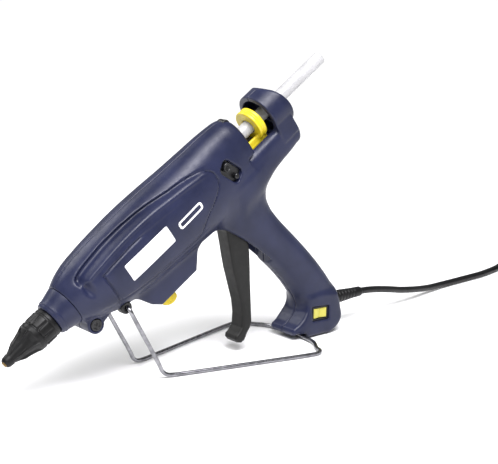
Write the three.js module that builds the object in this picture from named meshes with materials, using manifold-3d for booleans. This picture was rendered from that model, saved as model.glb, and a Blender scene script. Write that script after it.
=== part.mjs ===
// A heavy-duty hot-melt glue gun on its wire stand, in millimetres, +Z up.
// The gun is drawn in its own frame: x runs back along the barrel from the nozzle tip, y to the gun's
// right side and z up from the barrel's axis. It is then pitched nose-down and set on the bench, z = 0.
import * as THREE from 'three';
import { mergeVertices } from 'three/addons/utils/BufferGeometryUtils.js';
import Module from 'manifold-3d';

const wasm = await Module();
wasm.setup();

// ---- Driving dimensions -------------------------------------------------------------------------
const GAP = 0.3; // air between pieces that touch
const PITCH = THREE.MathUtils.degToRad(34.1); // the barrel points this far below level at rest
const TIP_HEIGHT = 34.5; // the nozzle tip above the bench
const TIP_X = -277.6; // on the bench, whose x is measured from near the grip's toe

const STICK_DIAMETER = 11.8;
const STICK_FRONT = 130;
const STICK_END = 386;
const STICK_CLEARANCE = 0.6; // round the stick, in everything that guides it

const WALL = 2.6; // the moulded housing
const CAP_START = 66.5; // where the housing's front edge is
const BARREL_END = 272.5; // the domed rear end of the barrel
const HOOD_START = 301;
const HOOD_END = 324;
const HOOD_RADIUS = 21.5;
const HOOD_HOLLOW_RADIUS = 16.8;
const HOOD_HOLLOW_END = 314;
const WINDOW_FLOOR = -11; // the top of the tail, under the feed window
const SLOT_HALF_WIDTH = 12; // the carriage's slot in that floor
const FOOT_HALF_WIDTH = 19;
const SOLE_HEIGHT = 1.2; // the grip's sole above the bench

const NOZZLE_BORE = 2.5;
const CHAMBER_RADIUS = 10.5;
const CHAMBER_START = 60;
const CHAMBER_END = 198;
const HEATER_RADIUS = 3.2;
const HEATER_LENGTH = 70;
const heaterZ = -CHAMBER_RADIUS - HEATER_RADIUS - 1.2;
const stickBore = STICK_DIAMETER / 2 + STICK_CLEARANCE;
const SLEEVE_RADIUS = 9.8;
const SLEEVE_LENGTH = 27;
const sleeveStart = CHAMBER_END + GAP;

const TRIGGER_PIVOT = [224, -44];
const TRIGGER_PIN_RADIUS = 3;
const TRIGGER_HALF_WIDTH = 8.7;
const RUNNING_GAP = 0.4; // round pins that turn

const COLLAR_START = 288; // the yellow carriage's ring
const COLLAR_THICKNESS = 8;
const COLLAR_RADIUS = 14.5;
const ARM_BOTTOM = -16;
const ARM_TOP = -12.6;
const ARM_HALF_WIDTH = 8;
const DRIVE_PIN = [230, -19]; // where the trigger's fork drives the carriage
const DRIVE_PIN_RADIUS = 2.3;
const FORK_HALF_WIDTH = 3.9; // the trigger's fork, between the carriage's two ears
const FORK_DROP = 1.1; // how far the pin sinks in the fork while the trigger swings
const EAR_LENGTH = 8; // along the barrel, about the drive pin
const EAR_DEPTH = 5; // below the drive pin
const CARRIAGE_TRAVEL = 10; // forward, with the trigger fully pulled
const RAIL_WIDTH = 2.4; // the two low rails on the carriage's arm
const RAIL_START = 264;
const RAIL_TOP = -7.5;
const JAW_RANGE = [267, 285];
const JAW_HALF_WIDTH = 5;
const REAR_BORE_CLEARANCE = 3.1; // round the stick, at the barrel's open rear

const KNOB_RADIUS = 7.3;
const KNOB_X = 141;
const KNOB_BOTTOM = -68;
const KNOB_TOP = -58;
const ADJUSTER_HALF_WIDTH = 15; // the box under the barrel that holds the adjuster
const ADJUSTER_SCREW_RADIUS = 2.4;
const FLUTES = 12;

const WIRE_RADIUS = 1.75;
const STAND_PIVOT = [-176.7, 64.7]; // bench x and z of the wire's hinge
const STAND_HALF_WIDTH = 21.6;
const STAND_FRONT = -144.3;
const STAND_REAR = -1.5;
const STAND_REAR_HALF_WIDTH = 60;
const CROSSBAR_X = 12;
const CROSSBAR_Z = 2.4;
const COVER_PIN_RADIUS = 4.2;
const COVER_PIN_HALF = 4.5;
const LUG_RADIUS = 5.2;
const LUG_END = 18.2; // how far the lugs reach to each side

const CORD_RADIUS = 3.25;
const COIL_CENTRE = [384, -14];
const COIL_RADIUS = 39; // at the middle of its turns
const COIL_TURNS_WIDE = 3;
const COIL_LAYERS = 3;
const CORD_PITCH = 6.65; // from one turn to the next
const PLUG_PIN_RADIUS = 2.4;
const PLUG_PIN_SPACING = 19;
const PLUG_PIN_LENGTH = 19;
const PLUG_PIN_ROOT = 6; // inside the plug
const PLUG_LENGTH = 37;
const SCREW_HEAD_RADIUS = 3.1;
const SCREW_SHANK_RADIUS = 1.5;

// ---- Materials ----------------------------------------------------------------------------------
const finish = (color, roughness, metalness = 0) =>
  new THREE.MeshStandardMaterial({ color, roughness, metalness });
const navy = finish(0x3a3f5e, 0.5);
const black = finish(0x222222, 0.6);
const rubber = finish(0x1c1c1c, 0.85);
const yellow = finish(0xe6d23c, 0.45);
const steel = finish(0xb8babc, 0.3, 1);
const brass = finish(0xb8923c, 0.35, 1);
const aluminium = finish(0xa9adb0, 0.45, 1);
const silicone = finish(0xc9c3b4, 0.7);
const ceramic = finish(0xe9e6dd, 0.6);
const glue = finish(0xe8e8e4, 0.35);
const white = finish(0xf2f2f2, 0.5);

// ---- Tools --------------------------------------------------------------------------------------
const rest = new THREE.Group();
const gun = new THREE.Group();
const bench = new THREE.Group();
rest.add(gun, bench);
gun.rotation.y = -PITCH;
gun.position.set(TIP_X, 0, TIP_HEIGHT);

// A closed geometry as a solid, with its faces pointing out.
function solid(geometry) {
  const bare = new THREE.BufferGeometry();
  bare.setAttribute('position', geometry.getAttribute('position'));
  if (geometry.index) bare.setIndex(geometry.index);
  const merged = mergeVertices(bare, 1e-3);
  const at = merged.attributes.position;
  const index = merged.index.array;
  const faces = [];
  let volume = 0;
  const [a, b, c] = [0, 1, 2].map(() => new THREE.Vector3());
  for (let i = 0; i < index.length; i += 3) {
    const [p, q, r] = index.slice(i, i + 3);
    if (p === q || q === r || r === p) continue;
    faces.push([p, q, r]);
    a.fromBufferAttribute(at, p);
    b.fromBufferAttribute(at, q);
    c.fromBufferAttribute(at, r);
    volume += a.dot(b.cross(c));
  }
  const triVerts = new Uint32Array(faces.flatMap((f) => (volume < 0 ? [f[0], f[2], f[1]] : f)));
  const vertProperties = new Float32Array(at.array);
  return new wasm.Manifold(new wasm.Mesh({ numProp: 3, vertProperties, triVerts }));
}

// Puts a solid into the scene as a named piece.
function piece(name, shape, material, parent = gun) {
  const made = shape.getMesh();
  const geometry = new THREE.BufferGeometry();
  geometry.setAttribute('position', new THREE.BufferAttribute(made.vertProperties, 3));
  geometry.setIndex(new THREE.BufferAttribute(made.triVerts, 1));
  geometry.computeVertexNormals();
  const mesh = new THREE.Mesh(geometry, material);
  mesh.name = name;
  parent.add(mesh);
  return mesh;
}

const joined = (shapes) => shapes.reduce((all, one) => all.add(one));
const cutBy = (shape, cuts) => cuts.reduce((left, one) => left.subtract(one), shape);

function box([x0, x1], [y0, y1], [z0, z1]) {
  const g = new THREE.BoxGeometry(x1 - x0, y1 - y0, z1 - z0);
  return solid(g.translate((x0 + x1) / 2, (y0 + y1) / 2, (z0 + z1) / 2));
}

// A body of revolution about the x axis through (y, z); the profile is [x, radius] points.
function turned(profile, { y = 0, z = 0, segments = 32 } = {}) {
  const points = profile.map(([x, r]) => new THREE.Vector2(r, x));
  return solid(new THREE.LatheGeometry(points, segments).rotateZ(-Math.PI / 2).translate(0, y, z));
}

const rodX = (radius, [x0, x1], options) =>
  turned([[x0, 0], [x0, radius], [x1, radius], [x1, 0]], options);

const tubeX = (inner, outer, [x0, x1], options) =>
  turned([[x0, inner], [x0, outer], [x1, outer], [x1, inner], [x0, inner]], options);

function rodY(radius, [y0, y1], [x, z], segments = 18) {
  const g = new THREE.CylinderGeometry(radius, radius, y1 - y0, segments);
  return solid(g.translate(x, (y0 + y1) / 2, z));
}

function rodZ(radius, [z0, z1], [x, y], segments = 24) {
  const g = new THREE.CylinderGeometry(radius, radius, z1 - z0, segments).rotateX(Math.PI / 2);
  return solid(g.translate(x, y, (z0 + z1) / 2));
}

// A side outline of [x, z] points, as thick as y0 to y1, with its edges bevelled inwards.
function plate(outline, [y0, y1], bevel = 0) {
  const shape = new THREE.Shape(outline.map(([x, z]) => new THREE.Vector2(x, z)));
  const g = new THREE.ExtrudeGeometry(shape, {
    depth: y1 - y0 - 2 * bevel,
    bevelEnabled: bevel > 0,
    bevelSize: bevel,
    bevelOffset: -bevel,
    bevelThickness: bevel,
    bevelSegments: 2,
    steps: 1,
  });
  return solid(g.translate(0, 0, bevel).rotateX(Math.PI / 2).translate(0, y1, 0));
}

// Rings of points, one for each station, joined into one closed skin with flat ends.
function loft(rings) {
  const count = rings[0].length;
  const points = rings.flat();
  const index = [];
  for (let i = 0; i + 1 < rings.length; i++) {
    for (let j = 0; j < count; j++) {
      const [a, b] = [i * count + j, i * count + ((j + 1) % count)];
      index.push(a, b, b + count, a, b + count, a + count);
    }
  }
  for (const [ring, flip] of [[0, true], [rings.length - 1, false]]) {
    const middle = new THREE.Vector3();
    rings[ring].forEach((p) => middle.addScaledVector(p, 1 / count));
    points.push(middle);
    for (let j = 0; j < count; j++) {
      const [a, b] = [ring * count + j, ring * count + ((j + 1) % count)];
      index.push(...(flip ? [points.length - 1, b, a] : [points.length - 1, a, b]));
    }
  }
  return solid(new THREE.BufferGeometry().setFromPoints(points).setIndex(index));
}

// One ring point on a superellipse: u and v run from -1 to 1 as the angle goes round.
function rounded(angle, power) {
  const bend = (c) => Math.sign(c) * Math.abs(c) ** (2 / power);
  return [bend(Math.cos(angle)), bend(Math.sin(angle))];
}

const around = (count, point) =>
  Array.from({ length: count }, (_, j) => point((2 * Math.PI * (j + 0.5)) / count));

// Upright sections along the barrel: [x, top, bottom, half width, power].
function barrelLoft(stations, inset = 0) {
  return loft(stations.map(([x, top, bottom, half, power]) =>
    around(20, (angle) => {
      const [u, v] = rounded(angle, power);
      const middle = (top + bottom) / 2;
      const reach = (top - bottom) / 2 - inset;
      return new THREE.Vector3(x, u * (half - inset), middle + v * reach);
    })));
}

// Level sections down the grip: [z, front, rear, half width, power].
function gripLoft(stations, inset = 0) {
  return loft(stations.map(([z, front, rear, half, power]) =>
    around(16, (angle) => {
      const [u, v] = rounded(angle, power);
      const reach = (rear - front) / 2 - inset;
      return new THREE.Vector3((front + rear) / 2 + u * reach, v * (half - inset), z);
    })));
}

// A section of the given radius carried along a smooth path or a chain of curves.
function tube(path, radius, steps, sides = 8) {
  const section = new THREE.Shape(around(sides, (a) =>
    new THREE.Vector2(radius * Math.cos(a), radius * Math.sin(a))));
  return solid(new THREE.ExtrudeGeometry(section, { extrudePath: path, steps, bevelEnabled: false }));
}

// Bench x and z as the gun's own x and z.
function onGun(x, z) {
  const [dx, dz] = [x - TIP_X, z - TIP_HEIGHT];
  return [
    dx * Math.cos(PITCH) + dz * Math.sin(PITCH),
    dz * Math.cos(PITCH) - dx * Math.sin(PITCH),
  ];
}

// ---- Housing ------------------------------------------------------------------------------------
const barrelStations = [
  [CAP_START, 18.5, -18.5, 18.5, 2],
  [72, 21, -22, 20.2, 2.1],
  [83, 24.3, -27, 23, 2.2],
  [100, 26.4, -34.2, 25.6, 2.3],
  [125, 27.9, -38.3, 26.8, 2.4],
  [150, 28.5, -40.9, 27.2, 2.4],
  [175, 27.8, -43, 27, 2.4],
  [200, 26.7, -45, 25.8, 2.4],
  [225, 26.3, -47, 23.8, 2.4],
  [245, 26, -48.5, 21.9, 2.4],
  [257, 25, -49, 20.4, 2.4],
  [264, 23.4, -48, 19.8, 2.3],
  [269, 20.5, -46, 17.4, 2.2],
  [BARREL_END, 15.5, -43, 13, 2.1],
];
const tailStations = [
  [236, WINDOW_FLOOR, -49, 20.5, 3],
  [262, WINDOW_FLOOR, -45.5, 20.2, 3.6],
  [290, WINDOW_FLOOR, -41, 19.5, 4],
  [312, WINDOW_FLOOR, -38.6, 18.8, 4],
  [320, WINDOW_FLOOR - 0.5, -37.6, 17.6, 3.6],
  [323.5, WINDOW_FLOOR - 2, -35, 15, 3],
];
const gripStations = [
  [-30, 204, 296, 17.5, 2.6],
  [-40, 205, 284, 18, 2.6],
  [-48, 209, 273, 18, 2.6],
  [-56, 213.5, 266.5, 17.8, 2.6],
  [-66, 218.5, 264, 17.3, 2.6],
  [-80, 224.5, 265, 16.8, 2.5],
  [-95, 230, 268, 16.5, 2.4],
  [-110, 234.5, 271.3, 16.4, 2.4],
  [-130, 239, 275.3, 16.4, 2.4],
  [-150, 241.5, 278.4, 16.5, 2.4],
  [-172, 241.5, 280, 16.8, 2.5],
  [-192, 240, 279.8, 17, 2.6],
  [-202, 240, 273, 16, 2.6],
];

// The foot: a sole, a round heel, and a toe whose lip reaches out over the stand's crossbar.
const HEEL_X = 42.5;
const HEEL_RADIUS = 15;
const footOutline = [
  onGun(16, SOLE_HEIGHT),
  onGun(HEEL_X, SOLE_HEIGHT),
  ...[-70, -45, -20, 5].map((a) => {
    const turn = THREE.MathUtils.degToRad(a);
    const [x, z] = [HEEL_RADIUS * Math.cos(turn), HEEL_RADIUS * Math.sin(turn)];
    return onGun(HEEL_X + x, SOLE_HEIGHT + HEEL_RADIUS + 0.5 + z);
  }),
  [276, -180],
  [262, -168],
  ...[
    [19.5, 36], [18.5, 30], [16, 24], [12, 18.5], [6.5, 13.6], [1.5, 10.6], [0, 7.9], [1.5, 4.8], [13, 4.8],
  ].map(([x, z]) => onGun(x, z)),
];
const footHollow = [
  [20, 6], [46, 6], [53, 12], [53, 20], [48, 36], [34, 38], [23, 32], [20.5, 22], [18.5, 14],
].map(([x, z]) => onGun(x, z));

// The box under the barrel that carries the stroke adjuster.
const adjusterBox = (inset) => plate([
  [112 + inset, -28],
  [114 + inset, -36],
  [121 + inset, -49],
  [128 + inset, -56 + inset],
  [170 - inset, -56.4 + inset],
  [184 - inset, -39],
  [186 - inset, -30],
], [-ADJUSTER_HALF_WIDTH + inset, ADJUSTER_HALF_WIDTH - inset], 2.5);

// The hood at the tail: a ring that leans forward at its top.
function hood() {
  const lean = plate([
    [HOOD_START - 3, -40], [HOOD_END, -40], [HOOD_END, -5], [HOOD_END - 1, 4], [HOOD_END - 2.5, 10.7],
    [HOOD_END - 5, 16.5], [HOOD_END - 8, 20], [HOOD_END - 11, HOOD_RADIUS], [HOOD_START - 3, HOOD_RADIUS],
  ], [-30, 30]);
  const ring = rodX(HOOD_RADIUS, [HOOD_START, HOOD_END], { segments: 36 });
  const sides = box([HOOD_START, HOOD_END - 4], [-20, 20], [-26, -3]);
  return ring.add(sides).intersect(lean);
}

// The lug at the front that carries the transverse tube.
const frontTubeAt = [73, -24.7];
const frontTubeRadius = 5;
const coverPinAt = [268, 19];
const frontLug = () => joined([
  rodY(7.4, [-14, 14], frontTubeAt, 28),
  plate([[68, -14], [84, -14], [88, -27], [78, -29], [68, -21]], [-13, 13], 1.5),
]);

const standPivot = onGun(...STAND_PIVOT);
const crossbar = onGun(CROSSBAR_X, CROSSBAR_Z);

const outside = joined([
  barrelLoft(barrelStations).subtract(box([262, 300], [-40, 40], [-60, WINDOW_FLOOR - 1])),
  barrelLoft(tailStations),
  gripLoft(gripStations),
  plate(footOutline, [-FOOT_HALF_WIDTH, FOOT_HALF_WIDTH], 1),
  adjusterBox(0),
  hood(),
  frontLug(),
]);

const shiftEnds = (stations, first, last) => {
  const moved = stations.map((row) => [...row]);
  moved[0][0] += first;
  moved[moved.length - 1][0] += last;
  return moved;
};
const coarser = (stations) => stations.filter((_, i) => i % 2 === 0 || i === stations.length - 1);
const inside = joined([
  barrelLoft(shiftEnds(coarser(barrelStations), -4, -WALL), WALL),
  barrelLoft(shiftEnds(coarser(tailStations), 0, -WALL), WALL),
  gripLoft(coarser(gripStations.slice(0, -1)), WALL),
  plate(footHollow, [WALL + 1.4 - FOOT_HALF_WIDTH, FOOT_HALF_WIDTH - WALL - 1.4]),
  adjusterBox(WALL),
]);

// The trigger swings back into this slot in the grip's front.
const triggerSlot = plate([
  [190, -58], [204, -38], [212, -33], [238, -33], [244, -60], [243.5, -84], [241, -98], [238, -109], [231, -114],
], [-TRIGGER_HALF_WIDTH - 1, TRIGGER_HALF_WIDTH + 1]);

const footGroove = joined([
  rodY(WIRE_RADIUS + 0.8, [-30, 30], crossbar, 20),
  plate([
    onGun(CROSSBAR_X - 2.6, CROSSBAR_Z), onGun(CROSSBAR_X + 2.6, CROSSBAR_Z),
    onGun(CROSSBAR_X + 2.6, -8), onGun(CROSSBAR_X - 6, -8),
  ], [-30, 30]),
]);

const exitX = 58.5; // bench x of the grip's heel where the cord leaves
const exitZ = 26.5;
const gripScrews = [[262, -150], [255, -112], [247, -62]];
const barrelScrews = [[96, -24], [190, -36]];
const screwPlaces = [...gripScrews, ...barrelScrews];
const sidePins = [{ at: [239.3, -0.7], radius: 4 }, { at: [243.5, -13.9], radius: 2.4 }];
const switchAt = [248.5, -184.5];
const SWITCH_TURN = THREE.MathUtils.degToRad(-36);
const SWITCH_LENGTH = 19;
const SWITCH_WIDTH = 13;

// Bosses inside the two halves that the screws pull together.
const bosses = joined(screwPlaces.map(([x, z]) => rodY(4.2, [-16, 16], [x, z], 10)));
const ribs = joined([
  box([BARREL_END - 36, BARREL_END - 34], [-24, 24], [-44, 22]),
  box([118, 120], [-24, 24], [-34, 24]),
]).intersect(outside);

const halfWidthAt = (x, z) => (z < -100 ? 16.4 : x > 230 ? 17.2 : 25);

// A slab turned in the side view about its middle.
function turnedSlab([x, z], length, width, [y0, y1], turn) {
  const g = new THREE.BoxGeometry(length, y1 - y0, width).rotateY(-turn);
  return solid(g.translate(x, (y0 + y1) / 2, z));
}

function housing() {
  const armSlot = [-ARM_HALF_WIDTH - 1, ARM_HALF_WIDTH + 1];
  const coreHole = rodX(CHAMBER_RADIUS + 3.2, [CAP_START - 5, 232], { segments: 32 });
  const shell = outside.subtract(inside)
    .add(bosses.intersect(outside))
    .add(ribs);
  return cutBy(shell, [
    coreHole,
    box([96, 174], [-11, 11], [heaterZ - HEATER_RADIUS - 2.6, 0]),
    box([DRIVE_PIN[0] - EAR_LENGTH / 2 - CARRIAGE_TRAVEL - 1, 260], armSlot, [DRIVE_PIN[1] - EAR_DEPTH - 2, -5]),
    box([250, 300], armSlot, [ARM_BOTTOM - 1, -5]),
    rodX(STICK_DIAMETER / 2 + REAR_BORE_CLEARANCE, [sleeveStart + SLEEVE_LENGTH, BARREL_END + 5]),
    box([BARREL_END + 0.2, HOOD_START], [-40, 40], [WINDOW_FLOOR + 0.01, 60]),
    box([252, HOOD_START + 2], [-SLOT_HALF_WIDTH, SLOT_HALF_WIDTH], [-20, -8]),
    rodX(HOOD_HOLLOW_RADIUS, [HOOD_START - 4, HOOD_HOLLOW_END], { segments: 32 }),
    rodX(stickBore + 0.8, [HOOD_START, HOOD_END + 5], { segments: 28 }),
    triggerSlot,
    footGroove,
    rodZ(KNOB_RADIUS + 0.8, [-80, -40], [KNOB_X, 0]),
    benchTurned([
      [exitX - 20, 0], [exitX - 20, 4], [exitX - 12.4, 4], [exitX - 12.4, 7.8], [exitX - 7.6, 7.8],
      [exitX - 7.6, 5.3], [exitX + 0.6, 5.3], [exitX + 2.6, 6.4], [exitX + 20, 6.4], [exitX + 20, 0],
    ], exitZ),
    rodY(frontTubeRadius + GAP, [-30, 30], frontTubeAt),
    rodY(COVER_PIN_RADIUS + GAP, [-COVER_PIN_HALF - GAP, COVER_PIN_HALF + GAP], coverPinAt),
    rodY(TRIGGER_PIN_RADIUS + GAP, [-16.5, 16.5], TRIGGER_PIVOT),
    ...[[-40, 8.7 - LUG_END], [LUG_END - 8.7, 40]].map((range) => rodY(LUG_RADIUS + GAP, range, standPivot)),
    ...screwPlaces.map(([x, z]) => rodY(SCREW_SHANK_RADIUS + GAP, [-14, 40], [x, z], 8)),
    ...screwPlaces.map(([x, z]) =>
      rodY(SCREW_HEAD_RADIUS + GAP, [halfWidthAt(x, z) - 6, 40], [x, z], 12)),
    ...sidePins.flatMap(({ at, radius }) => [-1, 1].map((side) =>
      rodY(radius + GAP, side < 0 ? [-40, -14] : [14, 40], at, 20))),
    turnedSlab(switchAt, SWITCH_LENGTH + 2 * GAP, SWITCH_WIDTH + 2 * GAP, [-30, -6], SWITCH_TURN),
  ]);
}

// A body of revolution about a level line on the bench, in the gun's frame.
function benchTurned(profile, z, segments = 24) {
  const points = profile.map(([x, r]) => new THREE.Vector2(r, x));
  const g = new THREE.LatheGeometry(points, segments).rotateZ(-Math.PI / 2)
    .translate(-TIP_X, 0, z - TIP_HEIGHT)
    .rotateY(PITCH);
  return solid(g);
}

const shell = housing();
const sideOf = (y0, y1) => box([40, 345], [y0, y1], [-230, 40]);
piece('housing_left', shell.intersect(sideOf(-60, -GAP / 2)), navy);
piece('housing_right', shell.intersect(sideOf(GAP / 2, 60)), navy);

// ---- Nozzle end ---------------------------------------------------------------------------------
// The heat shield over the nozzle, ribbed, with a ring of fins.
function nozzleCap() {
  const skin = turned([
    [1, 3], [1, 3.6], [3, 4.6], [12, 5.6], [20, 7.2], [26, 9], [30, 12], [34, 12.8], [46, 13],
    [49.4, 12.2], [49.4, 9.6], [30, 7.6], [14, 3.8], [5, 3], [1, 3],
  ], { segments: 24 });
  const fin = (angle) => {
    const g = new THREE.BoxGeometry(19, 1.6, 2.4).translate(20, 0, 7.4)
      .applyMatrix4(new THREE.Matrix4().makeRotationX(angle));
    return solid(g);
  };
  const fins = around(6, fin).map((one) => one.intersect(turned([
    [9, 0], [9, 5.6], [16, 8.2], [28, 12.4], [30, 0],
  ], { segments: 24 })).subtract(rodX(5, [0, 40])));
  return joined([skin, ...fins]).subtract(turned([
    [0, 0], [0, 3], [5, 3], [14, 3.8], [30, 7.6], [49.4, 9.6], [60, 9.6], [60, 0],
  ], { segments: 24 }));
}
piece('nozzle_cap', nozzleCap(), rubber);

piece('nozzle', cutBy(turned([
  [0, 0], [0, 2.2], [2, 2.6], [6, 2.6], [14, 3.3], [29, 7], [40, 8], [56, 8], [56, 0],
], { segments: 24 }), [
  turned([[-1, 0], [-1, NOZZLE_BORE / 2], [6, NOZZLE_BORE / 2], [20, 4], [60, 4], [60, 0]], { segments: 16 }),
]), brass);

piece('nose_collar', turned([
  [49.7, 11], [49.7, 13.6], [50.8, 14.4], [56, 15.6], [62, 17.2], [CAP_START - GAP, 18.3],
  [CAP_START - GAP, 14.2], [58, 12], [49.7, 11],
], { segments: 32 }), navy);

// ---- Melting train ------------------------------------------------------------------------------
const heaterY = 4.2;
const heaterRange = [100, 100 + HEATER_LENGTH];
const heaterPlaces = [['heater_left', -heaterY], ['heater_right', heaterY]];
piece('melt_chamber', cutBy(joined([
  rodX(CHAMBER_RADIUS, [CHAMBER_START, CHAMBER_END], { segments: 28 }),
  box([98, 172], [-8.6, 8.6], [heaterZ - HEATER_RADIUS - 1.6, 0]),
]), [
  turned([
    [CHAMBER_START - 1, 0], [CHAMBER_START - 1, 4], [78, 4], [90, stickBore], [CHAMBER_END + 1, stickBore],
    [CHAMBER_END + 1, 0],
  ], { segments: 24 }),
  ...heaterPlaces.map(([, y]) => rodX(HEATER_RADIUS + GAP, [96, 174], { y, z: heaterZ, segments: 16 })),
]), aluminium);
for (const [name, y] of heaterPlaces) {
  piece(name, rodX(HEATER_RADIUS, heaterRange, { y, z: heaterZ, segments: 16 }), ceramic);
}
piece('thermostat', rodZ(6, [CHAMBER_RADIUS + GAP, CHAMBER_RADIUS + 5], [140, 0], 20), black);
piece('thermal_fuse', rodX(2, [150, 165], { z: CHAMBER_RADIUS + 2 + GAP, segments: 12 }), ceramic);

piece('inlet_sleeve', tubeX(stickBore, SLEEVE_RADIUS, [sleeveStart, sleeveStart + SLEEVE_LENGTH], {
  segments: 24,
}), silicone);
piece('sleeve_clamp', tubeX(SLEEVE_RADIUS + GAP, SLEEVE_RADIUS + 1.3, [203, 209], { segments: 24 }), steel);

piece('glue_stick', rodX(STICK_DIAMETER / 2, [STICK_FRONT, STICK_END], { segments: 20 }), glue);

// ---- Feed carriage ------------------------------------------------------------------------------
const collarRange = [COLLAR_START, COLLAR_START + COLLAR_THICKNESS];
const driveHole = rodY(DRIVE_PIN_RADIUS + GAP, [-12, 12], DRIVE_PIN, 16);
const earRange = [DRIVE_PIN[0] - EAR_LENGTH / 2, DRIVE_PIN[0] + EAR_LENGTH / 2];
const earInner = FORK_HALF_WIDTH + 0.5;
const carriage = cutBy(joined([
  rodX(COLLAR_RADIUS, collarRange, { segments: 32 }),
  box([earRange[0], collarRange[1]], [-ARM_HALF_WIDTH, ARM_HALF_WIDTH], [ARM_BOTTOM, ARM_TOP]),
  ...[-1, 1].map((side) => box(
    [RAIL_START, collarRange[0] + 1],
    side < 0 ? [-ARM_HALF_WIDTH, RAIL_WIDTH - ARM_HALF_WIDTH] : [ARM_HALF_WIDTH - RAIL_WIDTH, ARM_HALF_WIDTH],
    [ARM_TOP - 1, RAIL_TOP],
  )),
  ...[-1, 1].map((side) => box(
    earRange, side < 0 ? [-ARM_HALF_WIDTH, -earInner] : [earInner, ARM_HALF_WIDTH],
    [DRIVE_PIN[1] - EAR_DEPTH, ARM_BOTTOM + 1],
  )),
]), [rodX(stickBore, [280, 300], { segments: 24 }), driveHole]);
piece('feed_carriage', carriage, yellow);
piece('drive_pin', rodY(DRIVE_PIN_RADIUS, [-ARM_HALF_WIDTH, ARM_HALF_WIDTH], DRIVE_PIN, 16), steel);
const jawTop = -STICK_DIAMETER / 2 - 1;
const jawBottom = ARM_TOP + GAP + 0.1;
piece('grip_jaw', plate([
  [JAW_RANGE[0], jawBottom], [JAW_RANGE[1], jawBottom], [JAW_RANGE[1], jawTop - 1.5], [JAW_RANGE[1] - 3, jawTop],
  [JAW_RANGE[0] + 3, jawTop], [JAW_RANGE[0], jawTop - 2],
], [-JAW_HALF_WIDTH, JAW_HALF_WIDTH]), black);

// The coil spring that draws the carriage back.
function spring() {
  const turns = 11;
  const [from, to, radius] = [244, 300, 3];
  class Helix extends THREE.Curve {
    getPoint(t) {
      const angle = 2 * Math.PI * turns * t;
      const x = from + (to - from) * t;
      return new THREE.Vector3(x, radius * Math.cos(angle), -24 + radius * Math.sin(angle));
    }
  }
  return tube(new Helix(), 0.5, turns * 8, 4);
}
piece('return_spring', spring(), steel);

// ---- Trigger ------------------------------------------------------------------------------------
function trigger() {
  const [px, pz] = TRIGGER_PIVOT;
  const lever = plate([
    [215, -56], [210.5, -67], [206, -77], [201.5, -88], [197, -101.5], [191.5, -118], [186, -128.5],
    [179.5, -136.8], [173.5, -138.6], [170, -138.8], [167.6, -141], [167.8, -144.8], [170.5, -148],
    [175, -148.6], [180.5, -145.4], [186, -143.4], [190, -140.5], [200, -124.5], [209.5, -109],
    [217, -97.5], [224, -86], [229.3, -75], [232.2, -62], [232.4, pz], [px + 5, pz + 6.2],
    [px - 3, pz + 7.6], [px - 8, pz],
  ], [-TRIGGER_HALF_WIDTH, TRIGGER_HALF_WIDTH], 2);
  // The fork stays under the carriage's arm as it swings, so its top is round about the pivot.
  const forkReach = ARM_BOTTOM - pz - 0.7;
  const fork = plate([
    [px - 6, pz], [px + 0.5, pz + forkReach], [px + 11.5, pz + forkReach], [px + 8, pz],
  ], [-FORK_HALF_WIDTH, FORK_HALF_WIDTH])
    .intersect(rodY(forkReach, [-FORK_HALF_WIDTH - 1, FORK_HALF_WIDTH + 1], TRIGGER_PIVOT, 96));
  const slotHalf = DRIVE_PIN_RADIUS + RUNNING_GAP;
  const slotBottom = DRIVE_PIN[1] - DRIVE_PIN_RADIUS - FORK_DROP;
  const slot = box([DRIVE_PIN[0] - slotHalf, DRIVE_PIN[0] + slotHalf], [-10, 10], [slotBottom, ARM_TOP]);
  return cutBy(joined([lever, fork]), [slot, rodY(TRIGGER_PIN_RADIUS + RUNNING_GAP, [-20, 20], TRIGGER_PIVOT)]);
}
piece('trigger', trigger(), black);
piece('trigger_pin', rodY(TRIGGER_PIN_RADIUS, [-16.2, 16.2], TRIGGER_PIVOT, 20), steel);

// ---- Stroke adjuster ----------------------------------------------------------------------------
function knob() {
  const body = rodZ(KNOB_RADIUS, [KNOB_BOTTOM + 1.5, KNOB_TOP], [KNOB_X, 0], 36)
    .add(rodZ(KNOB_RADIUS - 1.6, [KNOB_BOTTOM, KNOB_BOTTOM + 2], [KNOB_X, 0], 24));
  const grooves = around(FLUTES, (a) => rodZ(0.8, [KNOB_BOTTOM - 1, KNOB_TOP + 1], [
    KNOB_X + (KNOB_RADIUS + 0.2) * Math.cos(a), (KNOB_RADIUS + 0.2) * Math.sin(a),
  ], 6));
  return cutBy(body, grooves);
}
piece('stroke_adjuster', knob(), yellow);
piece('adjuster_screw', rodZ(ADJUSTER_SCREW_RADIUS, [KNOB_TOP + GAP, -28], [KNOB_X, 0], 16), steel);

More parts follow.
